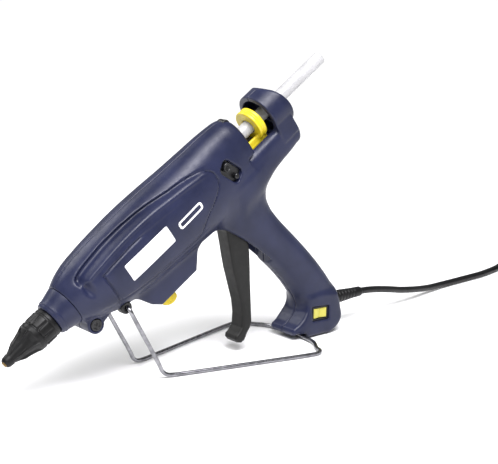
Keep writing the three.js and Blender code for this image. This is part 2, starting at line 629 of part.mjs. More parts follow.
// ---- Stand --------------------------------------------------------------------------------------
// The wire's centre line on the bench, from its left hinge end round the floor to its right one.
function wirePoints() {
  const [px, pz] = STAND_PIVOT;
  const side = [
    [px, LUG_END - 6, pz],
    [px, LUG_END + 0.6, pz],
    [px + 0.7, STAND_HALF_WIDTH - 0.7, pz - 2],
    [px + 2.4, STAND_HALF_WIDTH, pz - 6],
    [-149.6, STAND_HALF_WIDTH, 12],
    [-147, STAND_HALF_WIDTH + 0.3, 6.4],
    [-143.2, STAND_HALF_WIDTH + 0.9, 3.2],
    [-137, STAND_HALF_WIDTH + 2.2, WIRE_RADIUS + 0.3],
    [-120, STAND_HALF_WIDTH + 6.9, WIRE_RADIUS],
    [-60, STAND_HALF_WIDTH + 23.4, WIRE_RADIUS],
    [STAND_REAR - 14, STAND_REAR_HALF_WIDTH - 3.2, WIRE_RADIUS],
    [STAND_REAR - 6, STAND_REAR_HALF_WIDTH - 2.4, WIRE_RADIUS],
    [STAND_REAR, STAND_REAR_HALF_WIDTH - 6.4, WIRE_RADIUS],
    [STAND_REAR + 2.2, STAND_REAR_HALF_WIDTH - 13, WIRE_RADIUS],
    [CROSSBAR_X - 3.4, STAND_REAR_HALF_WIDTH - 26, CROSSBAR_Z - 0.3],
    [CROSSBAR_X - 0.7, FOOT_HALF_WIDTH + 1, CROSSBAR_Z - 0.1],
  ];
  return [
    ...side.map(([x, y, z]) => [x, -y, z]),
    [CROSSBAR_X, 0, CROSSBAR_Z],
    ...side.reverse(),
  ].map((p) => new THREE.Vector3(...p));
}
piece('stand_wire', tube(new THREE.CatmullRomCurve3(wirePoints(), false, 'centripetal'), WIRE_RADIUS, 120, 8),
  steel, bench);
for (const [name, side] of [['stand_lug_left', -1], ['stand_lug_right', 1]]) {
  const reach = [LUG_END - 8.4, LUG_END - 0.9];
  const range = side < 0 ? [-reach[1], -reach[0]] : reach;
  piece(name, rodY(LUG_RADIUS, range, standPivot, 24)
    .subtract(rodY(WIRE_RADIUS + 0.45, [-40, 40], standPivot, 16)), black);
}

// ---- Small pieces of the housing ----------------------------------------------------------------
piece('front_cross_tube', rodY(frontTubeRadius, [-14.5, 14.5], frontTubeAt, 24)
  .subtract(rodY(2.6, [-20, -11], frontTubeAt, 16))
  .subtract(rodY(2.6, [11, 20], frontTubeAt, 16)), rubber);
piece('cover_pin', rodY(COVER_PIN_RADIUS, [-COVER_PIN_HALF, COVER_PIN_HALF], coverPinAt, 24), black);
const LABEL = { x: [115, 163], z: [-13, 3.5], inner: 27.5, thickness: 0.6 };
for (const [sideName, side] of [['left', -1], ['right', 1]]) {
  const labelRange = [side * LABEL.inner, side * (LABEL.inner + LABEL.thickness)].sort((a, b) => a - b);
  piece(`label_plate_${sideName}`, box(LABEL.x, labelRange, LABEL.z), white);
  sidePins.forEach(({ at, radius }, i) => {
    const reach = i === 0 ? [15, 23.2] : [15, 22.4];
    const range = side < 0 ? [-reach[1], -reach[0]] : reach;
    piece(`${i === 0 ? 'latch_button' : 'latch_pin'}_${sideName}`, rodY(radius, range, at, 20), black);
  });
}
screwPlaces.forEach(([x, z], i) => {
  const head = halfWidthAt(x, z) - 6 + GAP;
  piece(`housing_screw_${i + 1}`, rodY(SCREW_SHANK_RADIUS, [-12, head + 0.5], [x, z], 8)
    .add(rodY(SCREW_HEAD_RADIUS, [head, head + 2.2], [x, z], 12))
    .subtract(box([x - 2, x + 2], [head + 1.2, head + 3], [z - 0.5, z + 0.5])), steel);
});

// ---- Switch -------------------------------------------------------------------------------------
piece('switch_body', cutBy(joined([
  turnedSlab(switchAt, SWITCH_LENGTH, SWITCH_WIDTH, [-16.8, -7], SWITCH_TURN),
]), [turnedSlab(switchAt, SWITCH_LENGTH - 3, SWITCH_WIDTH - 3, [-20, -11], SWITCH_TURN)]), black);
piece('rocker_switch', turnedSlab(switchAt, SWITCH_LENGTH - 4, SWITCH_WIDTH - 4, [-18.2, -12.4], SWITCH_TURN),
  yellow);

// ---- Cord ---------------------------------------------------------------------------------------
const reliefEnd = exitX + 39.5;
piece('strain_relief', benchTurned([
  [exitX - 12, CORD_RADIUS + 0.45], [exitX - 12, 7.4], [exitX - 8, 7.4], [exitX - 8, 4.9], [exitX + 1, 4.9],
  [exitX + 3, 6], [exitX + 14, 6], [reliefEnd - 4, 4.6], [reliefEnd, 4.4],
  [reliefEnd, CORD_RADIUS + 0.45], [exitX - 12, CORD_RADIUS + 0.45],
], exitZ), rubber);

// Where the cord runs from the strain relief to the coil, chosen by hand: bench x, y and z.
const cordPoints = [
  [51, 0, 26.5], [74, 0, 26.5], [98, 0, 26.4], [106.5, 0.6, 25.8], [118, 1.8, 24.2], [129, 3, 22.2],
  [145, 4.8, 18.8], [161, 7, 15], [179, 10, 11.4], [198, 14, 8], [218, 18.4, 5.2], [238, 21.8, 3.8],
  [256, 23, 3.4], [276, 23.6, 3.35], [304, 24.6, 3.35], [322, 27.2, 3.35], [341, 31.4, 3.35],
  [352, 35.4, 3.35],
];
const route = new THREE.CatmullRomCurve3(cordPoints.map((p) => new THREE.Vector3(...p)), false, 'centripetal');
piece('cord', tube(route, CORD_RADIUS, 30, 8), rubber, bench);

const coilHalfWidth = (COIL_TURNS_WIDE * CORD_PITCH) / 2;
const coilHeight = COIL_LAYERS * CORD_PITCH;
const coilInner = COIL_RADIUS - coilHalfWidth;
const coilOuter = COIL_RADIUS + coilHalfWidth;
piece('cord_coil', solid(new THREE.LatheGeometry([
  [coilInner, 0.1], [coilOuter, 0.1], [coilOuter, coilHeight], [coilInner, coilHeight], [coilInner, 0.1],
].map(([r, z]) => new THREE.Vector2(r, z)), 28).rotateX(Math.PI / 2).translate(...COIL_CENTRE, 0)), rubber, bench);

// From the coil's last turn to the plug, which lies beside the coil.
const plugBack = 350;
const plugFront = plugBack - PLUG_LENGTH;
const plugY = -72;
const plugHalfHeight = 7;
const tailPoints = [[388, -66.9, 3.4], [374, -67.1, 3.5], [363, -68.8, 4.6], [plugBack + 1.6, plugY, 7.1]];
const tailRoute = new THREE.CatmullRomCurve3(tailPoints.map((p) => new THREE.Vector3(...p)), false, 'centripetal');
piece('cord_tail', tube(tailRoute, CORD_RADIUS, 8, 8), rubber, bench);

const plugOutline = [
  [plugBack, -4.5], [plugBack, 4.5], [plugBack - 10, 9], [plugBack - 17, 17.5], [plugFront + 2, 17.5],
  [plugFront, 15.5], [plugFront, -15.5], [plugFront + 2, -17.5], [plugBack - 17, -17.5], [plugBack - 10, -9],
];
function plugBody() {
  const shape = new THREE.Shape(plugOutline.map(([x, y]) => new THREE.Vector2(x, y + plugY)));
  const bevel = 1.5;
  return solid(new THREE.ExtrudeGeometry(shape, {
    depth: 2 * (plugHalfHeight - bevel), bevelEnabled: true, bevelSize: bevel, bevelOffset: -bevel,
    bevelThickness: bevel, bevelSegments: 2,
  }).translate(0, 0, bevel + 0.1));
}
const pinCentres = [-1, 1].map((side) => ({ y: plugY + (side * PLUG_PIN_SPACING) / 2, z: plugHalfHeight + 0.1 }));
const pinTip = plugFront - PLUG_PIN_LENGTH;
const pinEnd = plugFront + PLUG_PIN_ROOT;
const pinHoles = pinCentres.map((at) =>
  rodX(PLUG_PIN_RADIUS + GAP, [plugFront - 5, pinEnd + GAP], { ...at, segments: 16 }));
piece('plug_body', cutBy(plugBody(), pinHoles), rubber, bench);
pinCentres.forEach((at, i) => {
  piece(`plug_pin_${i + 1}`, turned([
    [pinTip, 0], [pinTip, PLUG_PIN_RADIUS - 1], [pinTip + 1.2, PLUG_PIN_RADIUS], [pinEnd, PLUG_PIN_RADIUS],
    [pinEnd, 0],
  ], { ...at, segments: 16 }), steel, bench);
});

piece('cord_clamp', box([250, 264], [-4, 10], [-176, -172.5]), ceramic);
piece('terminal_block', box([248, 262], [-5, 7], [-168, -158]), ceramic);

// ---- Origin: under the middle of the gun and its stand ------------------------------------------
const standing = new THREE.Box3();
rest.updateMatrixWorld(true);
const loose = ['cord', 'cord_coil', 'cord_tail', 'plug_body', 'plug_pin_1', 'plug_pin_2'];
rest.traverse((node) => {
  if (node.isMesh && !loose.includes(node.name)) standing.expandByObject(node, true);
});
const middle = standing.getCenter(new THREE.Vector3());
rest.children.forEach((group) => group.position.sub(new THREE.Vector3(middle.x, middle.y, standing.min.z)));

export default rest;
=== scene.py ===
"""The glue gun on its wire stand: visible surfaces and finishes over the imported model.

Pieces of the gun are drawn in its own frame, in millimetres: s runs back along the barrel from the
nozzle tip, y to the gun's right side and h up from the barrel's axis. Pieces on the bench use the
bench frame, also in millimetres. Both are brought into the row frame, in metres, by rows().
"""
import math

import bpy
import numpy as np
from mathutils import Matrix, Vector


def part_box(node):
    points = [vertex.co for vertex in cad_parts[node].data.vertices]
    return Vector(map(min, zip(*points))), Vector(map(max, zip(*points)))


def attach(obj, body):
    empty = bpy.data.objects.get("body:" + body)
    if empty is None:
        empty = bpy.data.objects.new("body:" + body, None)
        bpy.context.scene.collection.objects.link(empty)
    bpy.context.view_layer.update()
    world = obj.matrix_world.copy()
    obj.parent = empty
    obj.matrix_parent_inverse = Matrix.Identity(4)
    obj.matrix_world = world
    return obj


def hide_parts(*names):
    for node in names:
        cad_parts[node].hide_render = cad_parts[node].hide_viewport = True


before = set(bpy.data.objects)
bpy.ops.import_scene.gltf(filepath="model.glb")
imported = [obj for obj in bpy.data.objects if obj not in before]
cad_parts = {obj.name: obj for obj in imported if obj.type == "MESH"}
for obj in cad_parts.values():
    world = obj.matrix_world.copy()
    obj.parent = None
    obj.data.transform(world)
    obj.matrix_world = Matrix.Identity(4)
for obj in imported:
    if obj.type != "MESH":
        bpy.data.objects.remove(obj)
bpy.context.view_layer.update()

# ---- Frames --------------------------------------------------------------------------------------
PITCH = math.radians(34.1)
TIP_X, TIP_HEIGHT = -277.6, 34.5
COIL_CENTRE = np.array([384.0, -14.0])

_low, _high = (np.array(v) * 1000 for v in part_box("cord_coil"))
SHIFT = np.array([*((_low + _high)[:2] / 2 - COIL_CENTRE), _low[2] - 0.1])


def side_to_bench(s, h):
    """A place in the gun's side view as the bench's x and z: a turn by the pitch, then a move."""
    return (
        TIP_X + s * math.cos(PITCH) - h * math.sin(PITCH),
        TIP_HEIGHT + s * math.sin(PITCH) + h * math.cos(PITCH),
    )


def on_gun(x, z):
    """Bench x and z to the gun's s and h, the turn of side_to_bench taken backwards."""
    dx, dz = x - TIP_X, z - TIP_HEIGHT
    return (dx * math.cos(PITCH) + dz * math.sin(PITCH), dz * math.cos(PITCH) - dx * math.sin(PITCH))


def rows(points, on_bench=False):
    """Millimetres in the gun's or the bench's frame to metres in the row frame."""
    x, y, z = np.moveaxis(np.asarray(points, float), -1, 0)
    if not on_bench:
        x, z = side_to_bench(x, z)
    return (np.stack([x, y, z], -1) + SHIFT) / 1000


# ---- Sizes shared by several pieces --------------------------------------------------------------
STICK_RADIUS, STICK_FRONT, STICK_END = 5.9, 130.0, 386.0
BORE_RADIUS = 6.5
NOSE_START, BARREL_END = 66.5, 272.5
HOOD_START, HOOD_END, HOOD_RADIUS, HOOD_BORE = 301.0, 324.0, 21.5, 16.8
WINDOW_FLOOR = -11.0
TRIGGER_PIVOT, DRIVE_PIN_AT = (224.0, -44.0), (230, -19)
TRIGGER_HALF = 8.7
KNOB_S, KNOB_LOW, KNOB_TOP, KNOB_RADIUS = 141.0, -68.0, -58.0, 7.3
TUBE_AT, TUBE_RADIUS = (73.0, -24.7), 5.0
COVER_PIN_AT, COVER_PIN_RADIUS, COVER_PIN_HALF = (268.0, 19.0), 4.2, 4.5
BUTTON_AT, LATCH_AT = (239.3, -0.7), (243.5, -13.9)
STAND_PIVOT = (-176.7, 64.7)
CROSSBAR = (12.0, 2.4)
WIRE_RADIUS = 1.75
FOOT_HALF = 19.0
SWITCH_AT, SWITCH_TURN, SWITCH_LENGTH, SWITCH_WIDTH = (248.5, -184.5), math.radians(-36), 19.0, 13.0
CORD_RADIUS = 3.25
EXIT_X, EXIT_Z = 58.5, 26.5
RELIEF_END = EXIT_X + 39.5
CORD_REST = 3.35
SCREWS = [(262, -150, 10.4), (255, -112, 10.4), (247, -62, 11.2), (96, -24, 19), (190, -36, 19)]  # s, h, seat
SIDES = ((-1, "left"), (1, "right"))


# ---- Camera --------------------------------------------------------------------------------------
def add(name, data):
    """An object that holds the data, put in the scene."""
    made = bpy.data.objects.new(name, data)
    bpy.context.scene.collection.objects.link(made)
    return made


CAMERA_PLACE, CAMERA_AZIMUTH, CAMERA_ELEVATION, CAMERA_LENS = (-0.56842, -0.76635, 0.32791), -39, 12.8, 83.93


def studio_camera():
    """A camera without roll that looks down by its elevation, about a metre from the gun."""
    data = bpy.data.cameras.new("studio_camera")
    data.sensor_width, data.lens = 36, CAMERA_LENS
    data.clip_start, data.clip_end = 0.05, 20
    camera = add("studio_camera", data)
    camera.location = CAMERA_PLACE
    camera.rotation_euler = (math.radians(90 - CAMERA_ELEVATION), 0, math.radians(CAMERA_AZIMUTH))
    bpy.context.scene.camera = camera


studio_camera()


# ---- Materials -----------------------------------------------------------------------------------
def finish(name, **sockets):
    """A new node material with one Principled shader, and its sockets set; _ stands for a space."""
    material = bpy.data.materials.new(name)
    material.use_nodes = True
    bsdf = material.node_tree.nodes["Principled BSDF"]
    for key, value in sockets.items():
        bsdf.inputs[key.replace("_", " ")].default_value = value
    return material, material.node_tree, bsdf


def noise(tree, scale, detail):
    """The value of a noise on object coordinates, whose node is made once."""
    place = tree.nodes.get("place") or tree.nodes.new("ShaderNodeTexCoord")
    place.name = "place"
    texture = tree.nodes.new("ShaderNodeTexNoise")
    texture.inputs["Scale"].default_value = scale
    texture.inputs["Detail"].default_value = detail
    tree.links.new(place.outputs["Object"], texture.inputs["Vector"])
    return texture.outputs["Fac"]


def mottled(tree, target, low, high, scale):
    """A noise ramped between two colours or two values, into a socket."""
    ramp = tree.nodes.new("ShaderNodeValToRGB")
    for stop, position, value in zip(ramp.color_ramp.elements, (0.35, 0.65), (low, high)):
        stop.position = position
        stop.color = (*np.broadcast_to(value, 3), 1)
    tree.links.new(noise(tree, scale, 3.0), ramp.inputs["Fac"])
    tree.links.new(ramp.outputs["Color"], target)


def grained(tree, bsdf, layers):
    """Bump from layers of (noise scale, strength, height in metres), one on top of the other."""
    normal = None
    for scale, strength, distance in layers:
        bump = tree.nodes.new("ShaderNodeBump")
        bump.inputs["Strength"].default_value = strength
        bump.inputs["Distance"].default_value = distance
        tree.links.new(noise(tree, scale, 2.0), bump.inputs["Height"])
        if normal is not None:
            tree.links.new(normal, bump.inputs["Normal"])
        normal = bump.outputs["Normal"]
    tree.links.new(normal, bsdf.inputs["Normal"])


def srgb(colour):
    """An 8-bit display colour as linear light, by the display's own curve."""
    c = np.array(colour) / 255
    return tuple(float(v) for v in np.where(c < 0.04045, c / 12.92, ((c + 0.055) / 1.055) ** 2.4))


def moulded(name, dark, light, rough, grain=1.0, specular=0.5):
    """Moulded plastic: two close shades in slow clouds, a fine sparked grain and uneven gloss."""
    material, tree, bsdf = finish(name, Metallic=0.0, Specular_IOR_Level=specular)
    mottled(tree, bsdf.inputs["Base Color"], srgb(dark), srgb(light), 38.0)
    mottled(tree, bsdf.inputs["Roughness"], rough - 0.05, rough + 0.05, 240.0)
    grained(tree, bsdf, [(2600.0, 0.10 * grain, 0.00012), (90.0, 0.05 * grain, 0.0006)])
    return material


def brushed(name, dark, light, rough, scratch=0.06):
    """Drawn metal: slow tarnish clouds, and fine uneven gloss from drawing marks."""
    material, tree, bsdf = finish(name, Metallic=1.0)
    mottled(tree, bsdf.inputs["Base Color"], srgb(dark), srgb(light), 160.0)
    mottled(tree, bsdf.inputs["Roughness"], max(0.05, rough - 0.06), rough + 0.08, 900.0)
    grained(tree, bsdf, [(1800.0, scratch, 0.00006)])
    return material


def waxy(name, dark, light):
    """Hot-melt glue: milky, slightly see-through and smooth, with a waxy gloss."""
    material, tree, bsdf = finish(
        name, Metallic=0.0, Subsurface_Weight=0.35, Subsurface_Radius=(0.006, 0.006, 0.006),
        Subsurface_Scale=1.0, Transmission_Weight=0.12, IOR=1.47,
    )
    mottled(tree, bsdf.inputs["Base Color"], srgb(dark), srgb(light), 60.0)
    mottled(tree, bsdf.inputs["Roughness"], 0.26, 0.34, 60.0)
    grained(tree, bsdf, [(30.0, 0.02, 0.0002)])
    return material


NAVY = moulded("navy_moulding", (27, 31, 54), (35, 39, 65), 0.34, specular=0.3)
BLACK = moulded("black_moulding", (10, 10, 12), (18, 18, 20), 0.38)
TRIGGER_BLACK = moulded("trigger_moulding", (17, 17, 16), (23, 23, 22), 0.5, specular=0.3)
RUBBER = moulded("black_rubber", (7, 7, 8), (13, 13, 14), 0.42, specular=0.28)
YELLOW = moulded("yellow_moulding", (214, 190, 30), (228, 206, 48), 0.36)
SWITCH_YELLOW = moulded("switch_moulding", (186, 178, 70), (200, 192, 84), 0.4)
LABEL = moulded("label_print", (238, 238, 240), (248, 248, 250), 0.35, grain=0.5)
STEEL = brushed("drawn_wire", (118, 118, 122), (152, 152, 156), 0.22)
DARK_STEEL = brushed("blackened_screw", (96, 97, 102), (126, 127, 132), 0.34)
BRASS = brushed("turned_brass", (120, 98, 60), (150, 126, 84), 0.42)
ALUMINIUM = brushed("cast_aluminium", (150, 152, 156), (176, 178, 182), 0.42, 0.2)
SILICONE = moulded("inlet_silicone", (196, 190, 174), (206, 201, 187), 0.6)
CERAMIC = moulded("steatite", (226, 223, 214), (238, 235, 228), 0.5)
GLUE = waxy("hot_melt", (176, 176, 177), (196, 196, 197))


# ---- Mesh tools ----------------------------------------------------------------------------------
def add_mesh(name, points, faces, material):
    """A smooth mesh from points in metres and faces as rows of four indices, the last repeated for
    a triangle."""
    data = bpy.data.meshes.new(name)
    points, faces = np.asarray(points, np.float32), np.asarray(faces, np.int32)
    data.vertices.add(len(points))
    data.vertices.foreach_set("co", points.ravel())
    kept = np.ones(faces.shape, bool)
    kept[:, 3] = faces[:, 2] != faces[:, 3]
    sizes = kept.sum(1)
    data.loops.add(int(sizes.sum()))
    data.loops.foreach_set("vertex_index", faces[kept])
    data.polygons.add(len(faces))
    data.polygons.foreach_set("loop_start", (np.cumsum(sizes) - sizes).astype(np.int32))
    data.polygons.foreach_set("use_smooth", np.ones(len(faces), bool))
    data.update(calc_edges=True)
    data.validate()
    data.materials.append(material)
    return add(name, data)


def put_mesh(name, points, faces, material, slot, body="root", node=None):
    """A mesh that rides on a body, and stands for a CAD node where one is named."""
    made = add_mesh(name, points, faces, material)
    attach(made, body)
    if node:
        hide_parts(node)
    return made


def skin(grid):
    """A grid of rings, (rings, points round, 3), as a closed tube: quads between rings, the round
    direction wrapped, and each end shut by a fan to the ring's mean point."""
    rings, count, _ = grid.shape
    i, j = np.meshgrid(np.arange(rings - 1), np.arange(count), indexing="ij")
    a, b = i * count + j, i * count + (j + 1) % count
    quads = np.stack([a, b, b + count, a + count], -1).reshape(-1, 4)
    p = np.arange(count)
    q, last = (p + 1) % count, (rings - 1) * count
    first_hub, last_hub = np.full((2, count), rings * count), np.full((2, count), rings * count + 1)
    fans = [np.stack([q, p, *first_hub], -1), np.stack([p + last, q + last, *last_hub], -1)]
    points = np.vstack([grid.reshape(-1, 3), grid[0].mean(0), grid[-1].mean(0)])
    return points, np.vstack([quads, *fans])


def ring_of(grid):
    """A grid wrapped both ways, as for a tube with a bore."""
    rings, count, _ = grid.shape
    i, j = np.meshgrid(np.arange(rings), np.arange(count), indexing="ij")
    k, m = (i + 1) % rings, (j + 1) % count
    quads = np.stack([i * count + j, i * count + m, k * count + m, k * count + j], -1)
    return grid.reshape(-1, 3), quads.reshape(-1, 4)


def outward(points, faces):
    """Turns every face over if the enclosed volume, summed from corner products, is negative."""
    a, b, c, d = (points[faces[:, k]] for k in range(4))
    volume = np.einsum("ij,ij->", a, np.cross(b, c)) + np.einsum("ij,ij->", a, np.cross(c, d))
    return faces[:, [1, 0, 3, 2]] if volume < 0 else faces


def put_skin(name, points, faces, *args, on_bench=False, **options):
    """A skin in millimetres put in place with its faces turned outward."""
    placed = rows(points, on_bench)
    return put_mesh(name, placed, outward(placed, faces), *args, **options)


def softened(profile, radius):
    """A profile with each corner replaced by a curve: points on the two legs near the corner and
    the quadratic between them, so an edge is rounded by about the radius."""
    profile = [np.array(p, float) for p in profile]
    t = np.linspace(0, 1, 5)[:, None]
    out = [profile[0]]
    for before, here, after in zip(profile, profile[1:], profile[2:]):
        back, ahead = before - here, after - here
        lb, la = np.linalg.norm(back), np.linalg.norm(ahead)
        cut = min(radius, 0.45 * lb, 0.45 * la)
        p, q = here + back / max(lb, 1e-9) * cut, here + ahead / max(la, 1e-9) * cut
        out.extend((1 - t) ** 2 * p + 2 * t * (1 - t) * here + t**2 * q)
    out.append(profile[-1])
    return np.array(out)


def turned(profile, count, soft, ripple):
    """A profile of (length, radius) points with softened corners, turned about a straight axis:
    arrays of length and of the two coordinates across. A ripple adds a radius that depends on
    length, angle and radius."""
    a, r = softened(profile, soft).T
    angle = np.arange(count) * 2 * math.pi / count
    length = np.repeat(a[:, None], count, 1)
    u, v = r[:, None] * np.cos(angle), r[:, None] * np.sin(angle)
    if ripple is not None:
        radius = np.hypot(u, v)
        gain = 1 + ripple(length, angle, radius) / np.maximum(radius, 1e-6)
        u, v = u * gain, v * gain
    return length, u, v


def put_turned(name, place, profile, *args, count=64, soft=0.4, ripple=None, **options):
    """A turned piece. Its profile starts and ends on the axis, or is closed round a bore; place
    makes points of its length and the two coordinates across."""
    grid = np.stack(place(*turned(profile, count, soft, ripple)), -1)
    points, faces = skin(grid) if profile[0][1] == 0 else ring_of(grid)
    return put_skin(name, points, faces, *args, **options)


def down_barrel(s, u, v):
    """The place of a piece turned about the barrel's axis."""
    return s, u, v


def across_at(at):
    """The place of a piece turned about a line across the gun."""
    return lambda y, u, v: (at[0] + u, y, at[1] + v)


def mirrored(half):
    """A profile across the gun from its half on the right side."""
    return [(-a, r) for a, r in half[::-1]] + half


def smooth_line(points, spacing, closed=False):
    """A centripetal Catmull-Rom curve through the points, sampled at even spacing along it."""
    p = np.asarray(points, float)
    if closed:
        p = np.vstack([p[-1], p, p[:2]])
    else:
        p = np.vstack([2 * p[0] - p[1], p, 2 * p[-1] - p[-2]])
    knots = np.concatenate([[0], np.cumsum(np.linalg.norm(np.diff(p, axis=0), axis=1) ** 0.5)])
    u = np.linspace(0, 1, 24, endpoint=False)
    spans = []
    for i in range(1, len(p) - 2):
        t0, t1, t2, t3 = knots[i - 1 : i + 3]
        t = (t1 + (t2 - t1) * u)[:, None]

        def mix(a, b, start, end):
            return (end - t) / (end - start) * a + (t - start) / (end - start) * b

        a1, a2, a3 = mix(p[i - 1], p[i], t0, t1), mix(p[i], p[i + 1], t1, t2), mix(p[i + 1], p[i + 2], t2, t3)
        spans.append(mix(mix(a1, a2, t0, t2), mix(a2, a3, t1, t3), t1, t2))
    line = np.vstack(spans + [p[-2:-1]])
    far = np.concatenate([[0], np.cumsum(np.linalg.norm(np.diff(line, axis=0), axis=1))])
    count = max(2, int(round(far[-1] / spacing)))
    even = np.linspace(0, far[-1], count + 1)
    if closed:
        even = even[:-1]
    return np.stack([np.interp(even, far, line[:, k]) for k in range(line.shape[1])], -1)


def swept(line, radius, count):
    """A round section carried along a line. The section's axes turn with the line by taking the
    last one's part square to each new direction."""
    ahead = np.gradient(line, axis=0)
    ahead /= np.linalg.norm(ahead, axis=1, keepdims=True)
    side = np.zeros_like(line)
    last = np.cross(ahead[0], (0.0, 0.0, 1.0))
    for k, direction in enumerate(ahead):
        last = last - direction * (last @ direction)
        last = last / np.linalg.norm(last)
        side[k] = last
    up = np.cross(ahead, side)
    angle = np.arange(count) * 2 * math.pi / count
    ring = np.cos(angle)[None, :, None] * side[:, None] + np.sin(angle)[None, :, None] * up[:, None]
    return line[:, None] + radius * ring


def right_of(line):
    """The unit normals of a closed flat line, to its right."""
    ahead = np.roll(line, -1, 0) - np.roll(line, 1, 0)
    ahead /= np.linalg.norm(ahead, axis=1, keepdims=True)
    return np.stack([ahead[:, 1], -ahead[:, 0]], -1)


def pillowed(outline, low, high, edge):
    """A flat outline given thickness, its rim a quarter round of radius edge at both faces: the
    outline moves in by edge (1 - cos t) while the face rises by edge sin t. Returns its rings."""
    line = smooth_line(outline, 1.0, closed=True)
    area = np.sum(line[:, 0] * np.roll(line[:, 1], -1) - np.roll(line[:, 0], -1) * line[:, 1])
    inward = -right_of(line) * np.sign(area)
    t = np.linspace(0, math.pi / 2, 6)
    moves = np.concatenate([edge * (1 - np.cos(t[::-1])), edge * (1 - np.cos(t))])
    heights = np.concatenate([low + edge - edge * np.sin(t[::-1]), high - edge + edge * np.sin(t)])
    rings = [np.column_stack([line + inward * m, np.full(len(line), z)]) for m, z in zip(moves, heights)]
    return np.array(rings)


# ---- Fields: closed solids as a value that is negative inside, about a distance in millimetres ---
def rounded_both(a, b, r):
    """The solid in both: the larger value, with the edge where they meet rounded by r."""
    d = np.maximum(r - np.abs(a - b), 0) / r
    return np.maximum(a, b) + d * d * r * 0.25


def rounded_either(a, b, r):
    """The solid in either: the smaller value, with the corner where they meet filled by r."""
    return -rounded_both(-a, -b, r)

def rounded_block(a, b, c, edge, end_edge):
    """The solid in a and b, their meeting rounded by edge, and in c, which ends it by end_edge."""
    return rounded_both(rounded_both(a, b, edge), c, end_edge)


def without(a, cut, r=0.8):
    """A solid less a cut, with the cut's edge rounded."""
    return rounded_both(a, -cut, r)


def along(x, stations, column):
    """A column of the stations at x: cubic pieces whose slopes at each station are the mean of its
    neighbours' slopes."""
    xs, ys = stations[:, 0], stations[:, column]
    slope = np.gradient(ys, xs)
    i = np.clip(np.searchsorted(xs, x) - 1, 0, len(xs) - 2)
    width = xs[i + 1] - xs[i]
    t = np.clip((x - xs[i]) / width, 0, 1)
    return (
        (1 + 2 * t) * (1 - t) ** 2 * ys[i]
        + t * (1 - t) ** 2 * width * slope[i]
        + t * t * (3 - 2 * t) * ys[i + 1]
        + t * t * (t - 1) * width * slope[i + 1]
    )


def oval(u, v, half_u, half_v, power):
    """A superellipse's field: the distance from the middle, less the distance to the outline on
    the same ray."""
    far = np.hypot(u, v)
    ratio = (np.abs(u / half_u) ** power + np.abs(v / half_v) ** power) ** (1 / power)
    return far - far / np.maximum(ratio, 1e-6)

def tube_field(across, lift, at, stations):
    """A tube of superellipses. At each place along it the stations give its two edges in the lift's
    direction, its half width and its power."""
    one, other = along(at, stations, 1), along(at, stations, 2)
    half_width, power = along(at, stations, 3), along(at, stations, 4)
    return oval(across, lift - (one + other) / 2, half_width, np.abs(one - other) / 2, power)


def outlined(s, h, outline):
    """The signed distance in the side view to a straight-edged outline."""
    p = np.asarray(outline, float)
    best = np.full(s.shape, 1e9)
    inside = np.zeros(s.shape, bool)
    for (x0, y0), (x1, y1) in zip(p, np.roll(p, -1, 0)):
        dx, dy = x1 - x0, y1 - y0
        t = np.clip(((s - x0) * dx + (h - y0) * dy) / (dx * dx + dy * dy), 0, 1)
        best = np.minimum(best, np.hypot(s - x0 - t * dx, h - y0 - t * dy))
        crosses = (y0 > h) != (y1 > h)
        side = s < x0 + dx * (h - y0) / (dy if dy else 1e-9)
        inside ^= crosses & side
    return np.where(inside, -best, best)


def slab(a, low, high):
    """Between two values of one coordinate."""
    return np.maximum(low - a, a - high)


def pin_y(s, h, at, radius):
    """A rod across the gun."""
    return np.hypot(s - at[0], h - at[1]) - radius


def turned_by(s, h, at, turn):
    """Places in the side view as distances from at, along and across a direction."""
    u, v = s - at[0], h - at[1]
    c, n = math.cos(turn), math.sin(turn)
    return u * c + v * n, -u * n + v * c


def band(d, half):
    """One at a line and zero a half width from it, with a smooth bell between."""
    t = np.clip(1 - (d / half) ** 2, 0, 1)
    return t * t


def step_up(d, width):
    """Zero before a line and one after it, smooth over the width."""
    t = np.clip(d / width + 0.5, 0, 1)
    return t * t * (3 - 2 * t)


BARREL = np.array([
    (66.5, 18.5, -18.5, 18.5, 2.0), (72, 21, -22, 20.2, 2.1), (83, 24.3, -27, 23, 2.2),
    (100, 26.4, -34.2, 25.6, 2.3), (125, 27.9, -38.3, 26.8, 2.4), (150, 28.5, -40.9, 27.2, 2.4),
    (175, 27.8, -43, 27, 2.4), (200, 26.7, -45, 25.8, 2.4), (225, 26.3, -47, 23.8, 2.4),
    (245, 26, -48.5, 21.9, 2.4), (257, 25.2, -49, 20.6, 2.4), (264, 24.2, -48, 20.1, 2.4),
    (269, 22.4, -46, 18.9, 2.4), (272.5, 20, -43, 17, 2.3),
])  # s, top, bottom, half width, power
TAIL = np.array([
    (236, -11, -49, 20.5, 3), (262, -11, -45.5, 20.2, 3.6), (290, -11, -41, 19.5, 4),
    (312, -11, -38.6, 18.8, 4), (320, -11.5, -37.6, 17.6, 3.6), (323.5, -13, -35, 15, 3),
])
GRIP = np.array([
    (-202, 240, 273, 16, 2.6), (-192, 240, 279.8, 17, 2.6), (-172, 241.5, 280, 16.8, 2.5),
    (-150, 241.5, 278.4, 16.5, 2.4), (-130, 239, 275.3, 16.4, 2.4), (-110, 234.5, 271.3, 16.4, 2.4),
    (-95, 230, 268, 16.5, 2.4), (-80, 224.5, 265, 16.8, 2.5), (-66, 218.5, 264, 17.3, 2.6),
    (-56, 213.5, 266.5, 17.8, 2.6), (-48, 209, 273, 18, 2.6), (-40, 205, 284, 18, 2.6),
    (-30, 204, 296, 17.5, 2.6),
])  # h, front, rear, half width, power
HEEL, HEEL_RADIUS = (42.5, 16.7), 15
